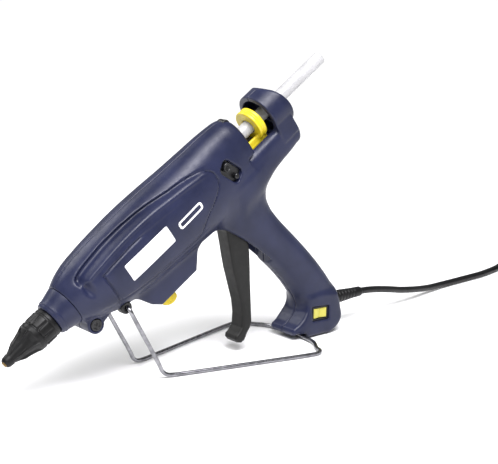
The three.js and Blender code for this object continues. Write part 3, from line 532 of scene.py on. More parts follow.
FOOT = [on_gun(16, 1.2), on_gun(HEEL[0], 1.2)] + [
    on_gun(HEEL[0] + HEEL_RADIUS * math.cos(a), HEEL[1] + HEEL_RADIUS * math.sin(a))
    for a in map(math.radians, (-75, -60, -45, -30, -15, 5))
] + [(273.5, -183.5), (258, -172)] + [on_gun(*at) for at in (
    (19.5, 36), (18.5, 30), (16, 24), (12, 18.5), (6.5, 13.6), (1, 10.6), (0, 7.5), (0.9, 4.8), (13, 4.8),
)]
ADJUSTER_BOX = [(112, -28), (114, -36), (121, -49), (128, -56), (170, -56.4), (184, -39), (186, -30)]
LEAN = [
    (298, -40), (324, -40), (324, -5), (323, 4), (321.5, 10.7), (319, 16.5), (316, 20), (313, 21.5),
    (313, 30), (298, 30),
]
TRIGGER_SLOT = [
    (190, -58), (204, -38), (212, -33), (238, -33), (244, -60), (243.2, -84), (240.4, -98), (238, -105),
    (234, -112),
]
RIDGE = np.array([(70, 10), (84, 15.8), (103.5, 19.2), (133, 21.2), (163, 20.3), (183, 17.8),
                  (203, 15.1), (216, 12.4), (235, 8)], float)
PANEL_REAR = np.array([(-34, 176), (-27, 188.3), (-19, 200.5), (-13, 213.8), (-6.5, 223.1), (1, 225.6),
                       (7, 224), (13, 217), (22, 200)], float)  # h, s
PANEL_FOOT = np.array([(84, -15), (101.8, -20.3), (128.6, -25.3), (169.5, -28.3), (200, -29)], float)
LUG_WEB = [(68, -14), (84, -14), (88, -27), (78, -29), (68, -21)]
BORES = [(13.7, 50, 232, 1), (9, 225, 290, 1), (HOOD_BORE, 290, 314, 1.2), (7.3, 300, 330, 1)]
# Each bore: radius, s from and to, edge.
CHANNELS = [
    (12, -20, -6, 252, 303), (9, -36, -5, 205, 250), (9, -17, -5, 240, 300), (11, -20, 0, 96, 174),
]  # half width, h from and to, s from and to
POCKET_AT, POCKET_TURN, POCKET_FLOOR = (240.8, -6.6), math.radians(-65), 17.4


def side_relief(s, y, h):
    """Height of the side's modelling, in millimetres outward. The groove along the shoulder is a
    bell across the ridge line, deep at the nose and shallow at the rear, and starts in a scoop.
    Below it the panel stands out by a smooth step, bounded by the ridge, a round rear line with a
    thin groove, and a crease at its foot. All of it fades towards the top and the belly."""
    top = h - along(s, RIDGE, 1)
    rear = s - along(h, PANEL_REAR, 1)
    foot = along(s, PANEL_FOOT, 1) - h
    on_length = step_up(s - 80, 6) * step_up(232 - s, 14)
    fade = step_up(215 - s, 26)
    front = step_up(150 - s, 110)
    groove = -(2.6 * front + 2.0) * band(top - 1.2, 2.4 + 1.6 * front) * fade
    lip = 1.0 * band(top + 2.8, 3.0) * fade
    panel = 0.8 * step_up(-top, 3) * step_up(-rear, 1.6) * step_up(-foot, 4)
    line = -1.7 * band(rear, 1.5) * step_up(-top, 3) * step_up(h + 27, 5)
    crease = -1.1 * band(foot, 1.7) * step_up(s - 96, 10) * step_up(192 - s, 14)
    inner_top = along(s, RIDGE, 1) - 10.0 - h
    flat = -0.6 * step_up(s - 97, 1.6) * step_up(inner_top, 2) * step_up(175 - s, 70)
    seam = -1.3 * band(inner_top, 1.4) * step_up(s - 97, 2) * step_up(143 - s, 22)
    edge = -1.3 * band(s - 97.6, 1.4) * step_up(inner_top, 2) * step_up(h + 20, 8)
    scoop = -4.2 * band(np.hypot((s - 82.5) / 5.2, (h - 8.5) / 11), 1.0)
    sides = step_up(np.abs(y) - 10, 8)
    return (on_length * (groove + lip + panel + line + crease + flat + seam + edge) + scoop) * sides


def side_pocket(s, h):
    """A rounded pocket in the side, round the latch button and its pin."""
    a, b = turned_by(s, h, POCKET_AT, POCKET_TURN)
    return rounded_both(slab(a, -11.5, 11.5), slab(b, -6.6, 6.6), 5.0)


def switch_outline(u, v, grow, edge):
    """The switch's rounded rectangle, grown on every side."""
    length, width = SWITCH_LENGTH / 2 + grow, SWITCH_WIDTH / 2 + grow
    return rounded_both(slab(u, -length, length), slab(v, -width, width), edge)


def housing_field(side):
    """The moulded half housing on one side of the parting plane, as one field: barrel, tail, hood,
    grip, foot, adjuster box and front lug filled into each other, less the slots and pockets."""

    def field(points):
        s, y, h = points.T
        away, axis = np.abs(y), np.hypot(y, h)
        x, z = side_to_bench(s, h)
        barrel = tube_field(y, h, s, BARREL) - side_relief(s, y, h)
        barrel = rounded_both(rounded_both(barrel, NOSE_START - s, 0.8), s - BARREL_END, 3.5)
        under = rounded_both(slab(s, 262, 400), h - WINDOW_FLOOR + 0.6, 1)
        barrel = without(barrel, under, 1.5)
        tail = rounded_both(rounded_both(tube_field(y, h, s, TAIL), s - 323.5, 2.0), 236 - s, 6)
        body = rounded_either(barrel, rounded_both(tail, h - WINDOW_FLOOR, 1.2), 2.5)
        arms = rounded_block(away - 20, slab(h, -26, -3), s - 320, 2, 1)
        hood = rounded_both(np.minimum(axis - HOOD_RADIUS, arms), slab(s, HOOD_START, HOOD_END), 1.0)
        body = rounded_either(body, rounded_both(hood, outlined(s, h, LEAN), 1.2), 1.5)
        grip = rounded_both(rounded_both(tube_field(y, s, h, GRIP), h + 30, 3), -202 - h, 3)
        body = rounded_either(body, grip, 9)
        foot_half = FOOT_HALF - 2.2 * step_up(9 - x, 12) - 2.6 * step_up(z - 19, 24)
        body = rounded_either(body, rounded_both(outlined(s, h, FOOT), away - foot_half, 3.2), 7)
        body = rounded_either(body, rounded_both(outlined(s, h, ADJUSTER_BOX), away - 15, 2.5), 4)
        lug = rounded_both(pin_y(s, h, TUBE_AT, 7.4), away - 14, 0.8)
        web = rounded_both(outlined(s, h, LUG_WEB), away - 13, 1)
        body = rounded_either(body, np.minimum(lug, web), 2)

        for radius, start, end, edge in BORES:
            body = without(body, rounded_both(axis - radius, slab(s, start, end), edge))
        for half, low, high, start, end in CHANNELS:
            body = without(body, rounded_block(away - half, slab(h, low, high), slab(s, start, end), 0.6, 1))
        slot = rounded_both(outlined(s, h, TRIGGER_SLOT), away - TRIGGER_HALF - 1, 0.6)
        body = without(body, slot, 1.2)
        knob = np.hypot(s - KNOB_S, y) - KNOB_RADIUS - 0.8
        body = without(body, rounded_both(knob, slab(h, -80, -28), 0.6))
        below = np.maximum(np.abs(x - CROSSBAR[0]) - 2.6, z - CROSSBAR[1])
        body = without(body, np.minimum(pin_y(s, h, on_gun(*CROSSBAR), WIRE_RADIUS + 0.8), below), 0.6)
        cord_hole = np.hypot(y, z - EXIT_Z) - np.where(x > EXIT_X + 1, 6.5, 5.4)
        body = without(body, np.maximum(cord_hole, 40 - x), 1.0)
        body = without(body, pin_y(s, h, TUBE_AT, TUBE_RADIUS + 0.3), 0.5)
        cover = pin_y(s, h, COVER_PIN_AT, COVER_PIN_RADIUS + 0.3)
        body = without(body, rounded_both(cover, away - COVER_PIN_HALF - 0.3, 0.3), 0.6)
        body = without(body, rounded_both(pin_y(s, h, on_gun(*STAND_PIVOT), 5.5), 9.5 - away, 0.5), 0.5)
        body = without(body, rounded_both(side_pocket(s, h), POCKET_FLOOR - away, 0.6))
        if side < 0:
            u, v = turned_by(s, h, SWITCH_AT, SWITCH_TURN)
            body = without(body, rounded_both(switch_outline(u, v, 0.3, 1.5), y + 6, 0.5), 0.7)
        else:
            for *at, seat in SCREWS:
                body = without(body, rounded_both(pin_y(s, h, at, 3.4), seat - y, 0.4), 0.5)
        return rounded_both(body, side * -y + 0.12, 0.5)

    return field


def level_skin(field, low, high, step):
    """The surface where a field is zero. The field is sampled on a fine grid, but only in blocks
    whose middle is near the surface. Each grid cell that the surface crosses gets one point, at
    the mean of the crossings on its edges, and each crossed grid edge joins its four cells' points
    in a quad. The points then slide down the field's slope until they lie on the surface."""
    low, block = np.array(low, float), 4
    blocks = np.ceil((np.array(high, float) - low) / (step * block)).astype(int)
    shape = blocks * block
    middles = [low[k] + (np.arange(blocks[k]) + 0.5) * block * step - step / 2 for k in range(3)]
    value = field(np.stack(np.meshgrid(*middles, indexing="ij"), -1).reshape(-1, 3))
    near = np.abs(value) < 1.5 * math.sqrt(3) * block / 2 * step + step
    volume = np.where(value < 0, -9.0, 9.0).reshape(blocks).astype(np.float32)
    for axis in range(3):
        volume = volume.repeat(block, axis)
    where = np.stack(np.unravel_index(np.nonzero(near)[0], tuple(blocks)), -1) * block
    local = np.stack(np.meshgrid(*[np.arange(block)] * 3, indexing="ij"), -1).reshape(-1, 3)
    index = (where[:, None] + local[None]).reshape(-1, 3)
    volume[tuple(index.T)] = np.concatenate([field(low + part * step) for part in np.array_split(index, 8)])
    inside = volume < 0
    corners = np.array([(i, j, k) for i in (0, 1) for j in (0, 1) for k in (0, 1)])
    total = sum(inside[tuple(slice(c, n - 1 + c) for c, n in zip(corner, shape))].astype(np.int8)
                for corner in corners)
    cells = np.stack(np.nonzero((total > 0) & (total < 8)), -1)
    number = np.full(shape - 1, -1, np.int32)
    number[tuple(cells.T)] = np.arange(len(cells))
    crossing, hits = np.zeros((len(cells), 3)), np.zeros(len(cells))
    values = [volume[tuple((cells + corner).T)] for corner in corners]
    for a in range(8):
        for axis in np.nonzero(corners[a] == 0)[0]:
            one, other = values[a], values[a + (4, 2, 1)[axis]]
            cut = (one < 0) != (other < 0)
            t = np.where(cut, one / np.where(cut, one - other, 1), 0)
            crossing += np.where(cut[:, None], corners[a] + t[:, None] * np.eye(3)[axis], 0)
            hits += cut
    points = low + (cells + crossing / hits[:, None]) * step
    faces = []
    for axis, u, v in ((0, 1, 2), (1, 2, 0), (2, 0, 1)):
        edge = inside != np.roll(inside, -1, axis)
        edge[tuple(slice(-1, None) if k == axis else slice(None) for k in range(3))] = False
        at = np.stack(np.nonzero(edge), -1)
        at = at[((at[:, [u, v]] > 0) & (at[:, [u, v]] < shape[[u, v]] - 1)).all(1)]
        du, dv = np.eye(3, dtype=int)[[u, v]]
        round_edge = [at - du - dv, at - dv, at, at - du]
        quad = np.stack([number[tuple(cell.T)] for cell in round_edge], -1)
        faces.append(np.where(inside[tuple(at.T)][:, None], quad, quad[:, ::-1]))
    start, tiny = points.copy(), 0.08 * step
    for _ in range(3):
        slope = np.stack([(field(points + tiny * axis) - field(points - tiny * axis)) / (2 * tiny)
                          for axis in np.eye(3)], -1)
        move = field(points)[:, None] * slope / np.maximum((slope**2).sum(1), 0.2)[:, None]
        points = start + np.clip(points - move - start, -0.7 * step, 0.7 * step)
    return points, np.vstack(faces)


def put_field(name, field, low, high, steps, *args, place=np.asarray, **options):
    """The surface of a field inside a box. The steps are the grid's in a quick view and otherwise; the first,
    for the quick view, is not used.
    """
    points, faces = level_skin(field, low, high, steps[1])
    return put_mesh(name, rows(place(points)), faces, *args, **options)


for side, hand in SIDES:
    near, far = sorted((side * 30.0, side * -1.5))
    put_field(f"housing_{hand}_shell", housing_field(side), (60, near, -214), (328, far, 32), (2.2, 1.05),
              NAVY, node=f"housing_{hand}", slot="body_plastic")


# ---- Nozzle end ----------------------------------------------------------------------------------
def cap_ripple(s, angle, _):
    """Six fins on the cone between s 9 and 31, raised cosines round the axis, and shallow dimples
    in the belt behind them."""
    fins = 2.2 * np.clip(np.cos(6 * angle), 0, 1) ** 6 * step_up(s - 12, 6) * step_up(29 - s, 4)
    dimples = -1.2 * np.clip(np.cos(10 * angle), 0, 1) ** 3 * step_up(s - 35, 2) * step_up(44 - s, 2)
    return (fins + dimples) * (s < 45)


put_turned("nozzle_cap_ribbed", down_barrel, [
    (1, 3), (1, 3.6), (3, 4.6), (7, 5.0), (7.2, 4.6), (12, 5.6), (16, 6.4), (20, 7.2), (26, 9), (29, 11.2),
    (30, 12.4), (33.5, 12.9), (34, 12.3), (35, 12.3), (35.5, 12.9), (44.5, 13), (45, 12.5), (46, 12.5),
    (46.5, 12.9), (48, 12.6), (49.4, 12.2), (49.4, 9.6), (30, 7.6), (14, 3.8), (5, 3), (1, 3),
], RUBBER, count=240, soft=0.35, ripple=cap_ripple, node="nozzle_cap", slot="black_rubber")
put_turned("nozzle_tip", down_barrel, [
    (0, 0), (0, 2.2), (2, 2.6), (6, 2.6), (14, 3.3), (29, 7), (40, 8), (56, 8), (56, 0),
], BRASS, node="nozzle", slot="brass")
put_turned("nose_ring", down_barrel, [
    (49.7, 11), (49.7, 13.6), (50.6, 14.4), (52.4, 14.8), (52.8, 15.3), (54.2, 15.5), (54.6, 15.2),
    (58, 16.1), (62, 17.2), (66.2, 18.3), (66.2, 14.2), (58, 12), (49.7, 11),
], NAVY, count=128, node="nose_collar", slot="body_plastic")
put_turned("front_tube_bored", across_at(TUBE_AT), mirrored([
    (14, TUBE_RADIUS), (14.5, 4.5), (14.5, 3.2), (13.6, 2.9), (13.6, 1.8), (13.9, 1.5), (13.9, 0),
]), BLACK, node="front_cross_tube", slot="black_rubber")
put_turned("cover_pin_slotted", across_at(COVER_PIN_AT), mirrored([
    (0.7, 3.5), (1, COVER_PIN_RADIUS), (4, COVER_PIN_RADIUS), (COVER_PIN_HALF, 3.7), (COVER_PIN_HALF, 0),
]), BLACK, node="cover_pin", slot="black_plastic")
BUTTON = [(15, 0), (15, 4), (22.6, 4), (23.2, 3.4), (23.0, 2.7), (22.2, 2.3), (22.2, 0)]
PIN = [(15, 0), (15, 2.4), (21.4, 2.4), (22.1, 1.7), (22.4, 0)]
for side, hand in SIDES:
    for name, at, profile, node in (
        ("latch_button_dished_", BUTTON_AT, BUTTON, "latch_button_"),
        ("latch_pin_domed_", LATCH_AT, PIN, "latch_pin_"),
    ):
        put_turned(name + hand, across_at(at), [(side * a, r) for a, r in profile], BLACK, soft=0.3,
                   node=node + hand, slot="black_plastic")


def pocket_painted_shade(side):
    """A thin black plate that lies on the side pocket's floor: painted shade that darkens the recess."""

    def field(points):
        s, y, h = points.T
        flat = side_pocket(s, h) + 0.2
        return rounded_both(flat, slab(side * y, POCKET_FLOOR - 1.0, POCKET_FLOOR + 0.5), 0.4)

    return field


# Painted shade: a black plate on each side pocket's floor darkens the recess.
for side, hand in SIDES:
    near, far = sorted((side * 15.0, side * 19.5))
    put_field("pocket_painted_shade_" + hand, pocket_painted_shade(side), (226, near, -22), (256, far, 9), (0.9, 0.45), BLACK,
              slot="black_plastic")


# ---- Labels --------------------------------------------------------------------------------------
def barrel_side(s, h):
    """The barrel's side at (s, h): half width times the superellipse's height there, with the
    panel's relief on it."""
    top, low = along(s, BARREL, 1), along(s, BARREL, 2)
    v = np.clip(np.abs((h - (top + low) / 2) / ((top - low) / 2)), 0, 0.999)
    power = along(s, BARREL, 4)
    flat = along(s, BARREL, 3) * (1 - v**power) ** (1 / power)
    return flat + side_relief(s, flat, h)


def barrel_face(s, h):
    """The housing's side at (s, h): barrel_side's height taken as a guess, then moved by the
    field's value until it lies on the field's surface."""
    y = barrel_side(s, h)
    field = housing_field(-1)
    for _ in range(4):
        y = y - field(np.column_stack([s, -y, h]))
    return y


def rounded_box(s0, s1, h0, h1, r, steps):
    """A rectangle with quarter-round corners, as points round it."""
    t = np.linspace(0, math.pi / 2, steps + 1)
    corners = [(s1 - r, h1 - r, 0), (s0 + r, h1 - r, 1), (s0 + r, h0 + r, 2), (s1 - r, h0 + r, 3)]
    arcs = [(cs + r * np.cos(t + k * math.pi / 2), ch + r * np.sin(t + k * math.pi / 2))
            for cs, ch, k in corners]
    return np.hstack(arcs).T


def even_round(outline):
    """A closed straight-edged outline as 144 points at even spacing round it."""
    line = np.vstack([outline, outline[:1]])
    far = np.concatenate([[0], np.cumsum(np.linalg.norm(np.diff(line, axis=0), axis=1))])
    even = np.linspace(0, far[-1], 144, endpoint=False)
    return np.stack([np.interp(even, far, line[:, k]) for k in range(2)], -1)


def printed_patch(name, side, rise, outline, inner=None, **options):
    """A thin patch that follows the barrel's side: rings shrink from the outline to its middle, or
    to an inner outline, lifted off the surface by the rise, with the rims brought back under it."""
    outline = even_round(outline)
    rim = [-0.8, rise * 0.6]
    if inner is None:
        target, close = outline.mean(0), skin
        shares, lifts = [0, 0, 0.015, *np.linspace(0.06, 0.92, 12)], rim + [rise] * 13
    else:
        target, close = even_round(inner), ring_of
        shares, lifts = [0, 0, 0.1, 0.5, 0.9, 1, 1], rim + [rise] * 3 + rim[::-1]
    grid = []
    for share, lift in zip(shares, lifts):
        s, h = (outline + (target - outline) * share).T
        grid.append(np.column_stack([s, side * (barrel_face(s, h) + lift), h]))
    put_skin(name, *close(np.array(grid)), LABEL, slot="label", **options)


for side, hand in SIDES:
    printed_patch("label_plate_plain_" + hand, side, 0.25, rounded_box(115, 163, -12.6, 3.4, 1.2, 6),
                  node="label_plate_" + hand)
    printed_patch("lozenge_mark_" + hand, side, 0.12, rounded_box(172, 200, -9.5, -2.5, 2.6, 8),
                  rounded_box(174, 198, -7.9, -4.1, 1.2, 8))


# ---- Glue stick and feed carriage ----------------------------------------------------------------
put_turned("glue_stick_cast", down_barrel, [
    (STICK_FRONT, 0), (STICK_FRONT, STICK_RADIUS - 0.7), (STICK_FRONT + 0.6, STICK_RADIUS),
    *((s, STICK_RADIUS) for s in (180, 240, 300, 350)),
    (STICK_END - 0.7, STICK_RADIUS), (STICK_END, STICK_RADIUS - 0.8), (STICK_END, 0),
], GLUE, body="stick", count=96, soft=0.5, node="glue_stick", slot="glue")


def carriage_field(points):
    """The yellow carriage: a bored ring with a waist groove, and under it a thin arm with two low
    side rails that runs forward to the trigger, ending in two ears for the drive pin."""
    s, y, h = points.T
    away, axis = np.abs(y), np.hypot(y, h)
    ring = rounded_both(axis - 14.5 + 0.9 * band(s - 292, 1.6), slab(s, 288, 296), 1.0)
    arm = rounded_block(away - 8, slab(h, -16, -12.6), slab(s, 226, 296), 0.8, 0.8)
    rail = rounded_block(slab(away, 5.6, 8), slab(h, -13.6, -7.5), slab(s, 264, 289), 0.6, 0.8)
    ears = rounded_block(slab(away, 4.4, 8), slab(h, -24, -15), slab(s, 226, 234), 0.6, 1.2)
    body = rounded_either(rounded_either(ring, arm, 1.2), rounded_either(rail, ears, 0.8), 0.8)
    body = without(body, rounded_both(axis - BORE_RADIUS, slab(s, 270, 300), 0.8), 0.6)
    return without(body, pin_y(s, h, DRIVE_PIN_AT, 2.6), 0.4)


put_field("feed_carriage_moulded", carriage_field, (222, -16, -27), (299, 16, 17), (1.4, 0.6), YELLOW,
          body="carriage", node="feed_carriage", slot="yellow_plastic")


# ---- Trigger -------------------------------------------------------------------------------------
TRIGGER_OUTLINE = [
    (215, -56), (210.5, -67), (206, -77), (201.5, -88), (197, -101.5), (191.5, -118), (186, -128.5),
    (179.5, -136.8), (173.5, -138.6), (170, -138.8), (167.6, -141), (167.8, -144.8), (170.5, -148),
    (175, -148.6), (180.5, -145.4), (186, -143.4), (190, -140.5), (200, -124.5), (209.5, -109),
    (217, -97.5), (224, -86), (229.3, -75), (232.2, -62), (232.4, -44), (229, -37.8), (221, -36.4),
    (216, -44),
]
TRIGGER_ARM = [(218, -44), (224.5, -16.7), (235.5, -16.7), (232, -44)]


def trigger_field(points):
    """The trigger: its side outline with rounded edges, and a fork that reaches up to the drive pin
    and is round about the pivot."""
    s, y, h = points.T
    away = np.abs(y)
    blade = rounded_both(outlined(s, h, TRIGGER_OUTLINE), away - TRIGGER_HALF, 2.6)
    arm = rounded_both(outlined(s, h, TRIGGER_ARM), away - 3.9, 1)
    arm = np.maximum(arm, pin_y(s, h, TRIGGER_PIVOT, 27.3))
    body = rounded_either(blade, arm, 1.5)
    slot = rounded_both(slab(s, 227.3, 232.7), -22.4 - h, 0.5)
    body = without(body, slot, 0.5)
    return without(body, pin_y(s, h, TRIGGER_PIVOT, 3.4), 0.5)


put_field("trigger_moulded", trigger_field, (160, -11, -152), (240, 11, -12), (1.6, 0.75), TRIGGER_BLACK,
          body="trigger", node="trigger", slot="black_plastic")


# ---- Stroke adjuster -----------------------------------------------------------------------------
def knob_ripple(h, angle, radius):
    """24 narrow flutes round the knob's belt."""
    flute = 0.55 * np.clip(-np.cos(24 * angle), -0.2, 1)
    return -flute * step_up(h - KNOB_LOW - 1.6, 1) * step_up(KNOB_TOP - 0.4 - h, 1) * (radius > 6.4)


put_turned("stroke_knob_fluted", lambda h, u, v: (KNOB_S + u, v, h), [
    (KNOB_TOP, 0), (KNOB_TOP, 6.6), (KNOB_TOP - 0.6, KNOB_RADIUS), (KNOB_TOP - 8, KNOB_RADIUS),
    (KNOB_TOP - 8.7, 6.8), (KNOB_LOW + 0.4, 5.9), (KNOB_LOW, 5.4), (KNOB_LOW, 4.2), (KNOB_LOW + 0.8, 3.6),
    (KNOB_LOW + 0.8, 0),
], YELLOW, body="adjuster", count=240, soft=0.3, ripple=knob_ripple,
           node="stroke_adjuster", slot="yellow_plastic")


# ---- Stand ---------------------------------------------------------------------------------------
def stand_line():
    """The wire's centre line on the bench, down from the left lug, back along the floor, across
    through the foot and forward again to the right lug."""
    px, pz = STAND_PIVOT
    end, half, rear, wide = 18.2, 21.6, -1.5, 60.0
    side = [
        (px, end - 6, pz), (px, end + 0.6, pz), (px + 0.7, half - 0.7, pz - 2), (px + 2.4, half, pz - 6),
        (-149.6, half, 12), (-147, half + 0.3, 6.4), (-143.2, half + 0.9, 3.2), (-137, half + 2.2, 2.05),
        (-120, half + 6.9, WIRE_RADIUS), (-60, half + 23.4, WIRE_RADIUS),
        (rear - 14, wide - 3.2, WIRE_RADIUS),
        (rear - 6, wide - 2.4, WIRE_RADIUS), (rear, wide - 6.4, WIRE_RADIUS),
        (rear + 2.2, wide - 13, WIRE_RADIUS), (CROSSBAR[0] - 3.4, wide - 26, CROSSBAR[1] - 0.3),
        (CROSSBAR[0] - 0.7, FOOT_HALF + 1, CROSSBAR[1] - 0.1),
    ]
    return [(x, -y, z) for x, y, z in side] + [(CROSSBAR[0], 0, CROSSBAR[1])] + side[::-1]


points, faces = skin(swept(smooth_line(stand_line(), 1.6), WIRE_RADIUS, 24))
put_skin("stand_wire_drawn", points, faces, STEEL, on_bench=True, body="stand",
         node="stand_wire", slot="stand_steel")
LUG = [(9.8, 2.2), (9.8, 5.2), (16.4, 5.2), (17.3, 4.3), (17.3, 2.2), (9.8, 2.2)]
for side, hand in SIDES:
    put_turned(f"stand_lug_{hand}_cap", across_at(on_gun(*STAND_PIVOT)), [(side * a, r) for a, r in LUG],
               BLACK, node="stand_lug_" + hand, slot="black_plastic")


# ---- Switch --------------------------------------------------------------------------------------
def turned_in_side_view(grid):
    """A point (u, y, v) of the switch turned by its angle about its middle in the side view."""
    c, n = math.cos(SWITCH_TURN), math.sin(SWITCH_TURN)
    u, y, v = np.moveaxis(grid, -1, 0)
    return np.stack([SWITCH_AT[0] + u * c - v * n, y, SWITCH_AT[1] + u * n + v * c], -1)


def switch_frame_field(points):
    """The switch's black surround: a rounded slab with a window that its rocker fills."""
    u, y, v = points.T
    body = rounded_both(switch_outline(u, v, 0, 1.2), slab(y, -17.0, -7), 0.6)
    hole = rounded_both(switch_outline(u, v, -1.6, 0.8), y + 11, 0.4)
    return without(body, hole, 0.6)


def rocker_field(points):
    """The rocker: two faces that tilt up from the middle line to its two ends, about 8 degrees
    each, with a thin groove between them."""
    u, y, v = points.T
    face = -y - 16.0 - 0.14 * np.abs(u) - 0.004 * u * u + 0.5 * band(u, 0.7)
    body = rounded_both(switch_outline(u, v, -2, 0.8), face, 0.7)
    return rounded_both(body, y + 12.4, 0.5)


put_field("switch_surround", switch_frame_field, (-11, -18.5, -8), (11, -6, 8), (0.8, 0.35), BLACK,
          place=turned_in_side_view, node="switch_body", slot="black_plastic")
put_field("rocker_two_faced", rocker_field, (-9, -19.5, -6), (9, -11, 6), (0.8, 0.35), SWITCH_YELLOW,
          place=turned_in_side_view, body="rocker", node="rocker_switch", slot="switch_yellow")


# ---- Cord ----------------------------------------------------------------------------------------
ROUTE = [
    (88, 0, 26.5), (98, 0, 26.4), (106.5, 0.6, 25.8), (118, 1.8, 24.2), (129, 3, 22.2), (145, 4.8, 18.8),
    (161, 7, 15), (179, 10, 11.4), (198, 14, 8), (218, 18.4, 5.2), (238, 21.8, 3.8), (256, 23, 3.4),
    (276, 23.6, 3.35), (304, 24.6, 3.35), (322, 27.2, 3.35), (341, 31.4, 3.35), (352, 35.4, 3.35),
]
COIL_RADIUS, PITCH_OF_TURNS = 39.0, 6.65
COIL_START, COIL_TURNS, JOIN_RADIUS = 112.0, 8 + 202 / 360, 58.7
PLUG_BACK, PLUG_Y, PLUG_Z = 350.0, -72.0, 7.1


def coil_line():
    """The coil's turns clockwise from above: the radius and height hold for each turn and ease to
    the next one over about its last quarter. The last part turn leaves over the top layer's outer
    turn and down the coil's side."""
    turns = np.linspace(0, COIL_TURNS, 8 * 72 + 45)
    outer = COIL_RADIUS + PITCH_OF_TURNS
    inner = outer - 2 * PITCH_OF_TURNS
    radii = [outer, COIL_RADIUS, inner, inner, COIL_RADIUS, outer, outer, COIL_RADIUS, COIL_RADIUS]
    levels = [0, 0, 0, 1, 1, 1, 2, 2, 2]
    k = np.clip(turns.astype(int), 0, 7)
    ease = step_up(turns - k - 0.86, 0.26)
    radius = np.take(radii, k) * (1 - ease) + np.take(radii, k + 1) * ease
    level = np.take(levels, k) * (1 - ease) + np.take(levels, k + 1) * ease
    radius = radius + (JOIN_RADIUS - outer) * (1 - step_up(turns - 0.11, 0.22))
    height = CORD_REST + PITCH_OF_TURNS * level
    over = np.clip((turns - 8.02) / (COIL_TURNS - 8.03), 0, 1)
    over = over * over * (3 - 2 * over)
    arc_share = 0.61
    turn = np.clip(over / arc_share, 0, 1) * math.pi
    drop = np.clip((over - arc_share) / (1 - arc_share), 0, 1)
    top = CORD_REST + 2 * PITCH_OF_TURNS
    last = turns > 8.0
    radius = np.where(last, outer - PITCH_OF_TURNS * np.cos(turn), radius)
    height = np.where(last, top + PITCH_OF_TURNS * np.sin(turn) - 2 * PITCH_OF_TURNS * drop, height)
    angle = math.radians(COIL_START) - turns * 2 * math.pi
    x, y = COIL_CENTRE[0] + radius * np.cos(angle), COIL_CENTRE[1] + radius * np.sin(angle)
    return np.column_stack([x, y, height])


def cord_line():
    """The whole cord: out of the strain relief, down to the bench, into the coil, and from its
    last turn to the plug."""
    coil = coil_line()
    tail = [tuple(coil[-1]), (373, -67.0, 3.4), (363, -68.8, 4.6), (PLUG_BACK - 3, PLUG_Y, PLUG_Z)]
    return np.vstack([smooth_line(ROUTE, 3.0)[:-1], coil, smooth_line(tail, 3.0)[1:]])


placed = rows(cord_line(), on_bench=True)
curve = bpy.data.curves.new("supply_cord", "CURVE")
curve.dimensions = "3D"
curve.bevel_depth = CORD_RADIUS / 1000
curve.bevel_resolution = 5
curve.use_fill_caps = True
spline = curve.splines.new("POLY")
spline.points.add(len(placed) - 1)
spline.points.foreach_set("co", np.column_stack([placed, np.ones(len(placed))]).ravel())
curve.materials.append(RUBBER)
supply_cord = add("supply_cord", curve)
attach(supply_cord, "root")
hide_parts("cord", "cord_coil", "cord_tail")

PLUG_SIDE = [
    (0, 4.5), (6, 7), (10, 9.4), (14, 14.5), (19, 17.3), (26, 17.5), (34, 17.4), (37, 15),
]  # distance in front of the plug's back, half width
right = [(PLUG_BACK - a, PLUG_Y + half) for a, half in PLUG_SIDE]
left = [(PLUG_BACK - a, PLUG_Y - half) for a, half in PLUG_SIDE]
plug_outline = left[:1] + right + [(PLUG_BACK - 37, PLUG_Y)] + left[:0:-1]
points, faces = skin(pillowed(plug_outline, 0.1, 14.1, 3.2))
plug = put_skin("plug_body_moulded", points, faces, RUBBER, on_bench=True,
                node="plug_body", slot="black_rubber")


def coil_tie(angle):
    """A flat strap round the coil's section: a rounded box path in radius and height, with a
    narrow band across it."""
    path = smooth_line([(28.3, 10), (28.6, 3), (31, 0.45), (39, 0.35), (47, 0.45), (49.4, 3), (49.7, 10),
                        (49.4, 17.5), (47, 20.3), (39, 20.5), (31, 20.3), (28.6, 17.5)], 1.0, closed=True)
    rings = []
    for across, rise in [(-4, -0.3), (-4.2, 0), (-4, 0.3), (4, 0.3), (4.2, 0), (4, -0.3)]:
        radius, height = (path + right_of(path) * rise).T
        x = COIL_CENTRE[0] + radius * math.cos(angle) - across * math.sin(angle)
        y = COIL_CENTRE[1] + radius * math.sin(angle) + across * math.cos(angle)
        rings.append(np.column_stack([x, y, height]))
    return ring_of(np.array(rings))


tie = put_skin("coil_tie_strap", *coil_tie(math.radians(25)), BLACK, on_bench=True, slot="black_rubber")
rows((RELIEF_END, 0, EXIT_Z), on_bench=True)


def relief_profile():
    """The tapered strain relief from inside the grip's heel to the cord, with shallow grooves cut
    between its rings."""
    profile = [(EXIT_X - 12, 3.7), (EXIT_X - 12, 7.2), (EXIT_X - 8.2, 7.2), (EXIT_X - 8, 4.9),
               (EXIT_X + 0.6, 4.9), (EXIT_X + 2, 6.3), (EXIT_X + 5, 6.6)]
    for k in range(6):
        a, r = EXIT_X + 7.5 + 4.2 * k, 6.4 - 0.28 * k
        profile += [(a, r), (a + 0.4, r - 0.45), (a + 1.4, r - 0.45), (a + 1.8, r - 0.05)]
    return profile + [(RELIEF_END - 1, 4.7), (RELIEF_END, 4.2), (RELIEF_END, 3.4), (EXIT_X - 12, 3.7)]


put_turned("strain_relief_ringed", lambda x, u, v: (x, u, EXIT_Z + v), relief_profile(), RUBBER,
           on_bench=True, soft=0.3, node="strain_relief", slot="black_rubber")


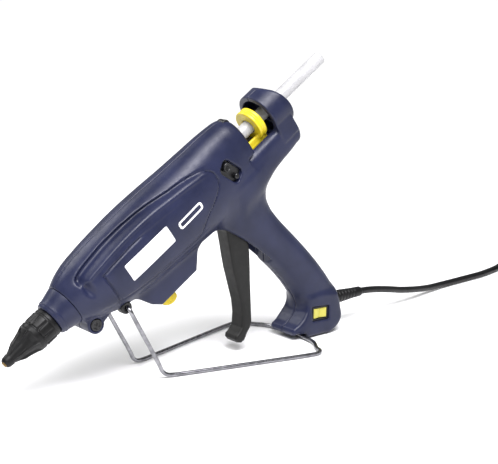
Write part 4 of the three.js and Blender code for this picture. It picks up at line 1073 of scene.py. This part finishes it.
# ---- Finishes of the parts kept as they are ------------------------------------------------------
KEPT = {
    "melt_chamber": ALUMINIUM, "heater_left": CERAMIC, "heater_right": CERAMIC, "thermostat": BLACK,
    "thermal_fuse": CERAMIC, "inlet_sleeve": SILICONE, "sleeve_clamp": STEEL, "drive_pin": STEEL,
    "grip_jaw": BLACK, "return_spring": STEEL, "trigger_pin": STEEL, "adjuster_screw": STEEL,
    "plug_pin_1": STEEL, "plug_pin_2": STEEL, "cord_clamp": CERAMIC, "terminal_block": CERAMIC,
    **{f"housing_screw_{k + 1}": DARK_STEEL for k in range(len(SCREWS))},
}
for name, material in KEPT.items():
    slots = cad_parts[name].data.materials
    slots.clear()
    slots.append(material)


# ---- Floor and light -----------------------------------------------------------------------------
def floor():
    """A wide level sheet just under the object."""
    n = 60
    x, y = np.meshgrid(np.linspace(-20, 20, n), np.linspace(-20, 20, n), indexing="ij")
    i, j = np.meshgrid(np.arange(n - 1), np.arange(n - 1), indexing="ij")
    quads = np.stack([i * n + j, (i + 1) * n + j, (i + 1) * n + j + 1, i * n + j + 1], -1).reshape(-1, 4)
    points = np.stack([x, y, np.full_like(x, -0.0003)], -1).reshape(-1, 3)
    material, tree, bsdf = finish("studio_paper", Roughness=0.9)
    mottled(tree, bsdf.inputs["Base Color"], (0.93, 0.93, 0.93), (0.95, 0.95, 0.95), 3.0)
    add_mesh("studio_floor", points, quads, material)


def soft_box(name, place, target, size, power, colour=(1, 1, 1)):
    """A rectangular area light aimed at a point."""
    data = bpy.data.lights.new(name, "AREA")
    data.shape, data.size, data.size_y = "RECTANGLE", size[0], size[1]
    data.energy, data.color = power, colour
    lamp = add(name, data)
    lamp.location = place
    lamp.rotation_euler = (Vector(target) - Vector(place)).to_track_quat("-Z", "Y").to_euler()


def world_light(strength):
    """Even white light from all round."""
    world = bpy.data.worlds.new("studio_world")
    bpy.context.scene.world = world
    world.use_nodes = True
    back = world.node_tree.nodes["Background"]
    back.inputs["Color"].default_value = (1, 1, 1, 1)
    back.inputs["Strength"].default_value = strength


def sky_sun(strength, wide, turn):
    """A broad distant light, so that the floor is equally bright all over."""
    data = bpy.data.lights.new("broad_sun", "SUN")
    data.energy, data.angle = strength, math.radians(wide)
    add("broad_sun", data).rotation_euler = tuple(math.radians(a) for a in turn)


floor()
world_light(0.34)
sky_sun(2.95, 50, (24, -20, 0))
soft_box("key_box", (-0.14, -0.62, 1.2), (0, 0, 0.16), (0.8, 0.5), 15, (0.96, 0.94, 1.0))
soft_box("rear_box", (-0.5, 0.9, 1.0), (0, 0, 0.12), (0.8, 0.6), 6)
bpy.context.scene.view_settings.view_transform = "Standard"
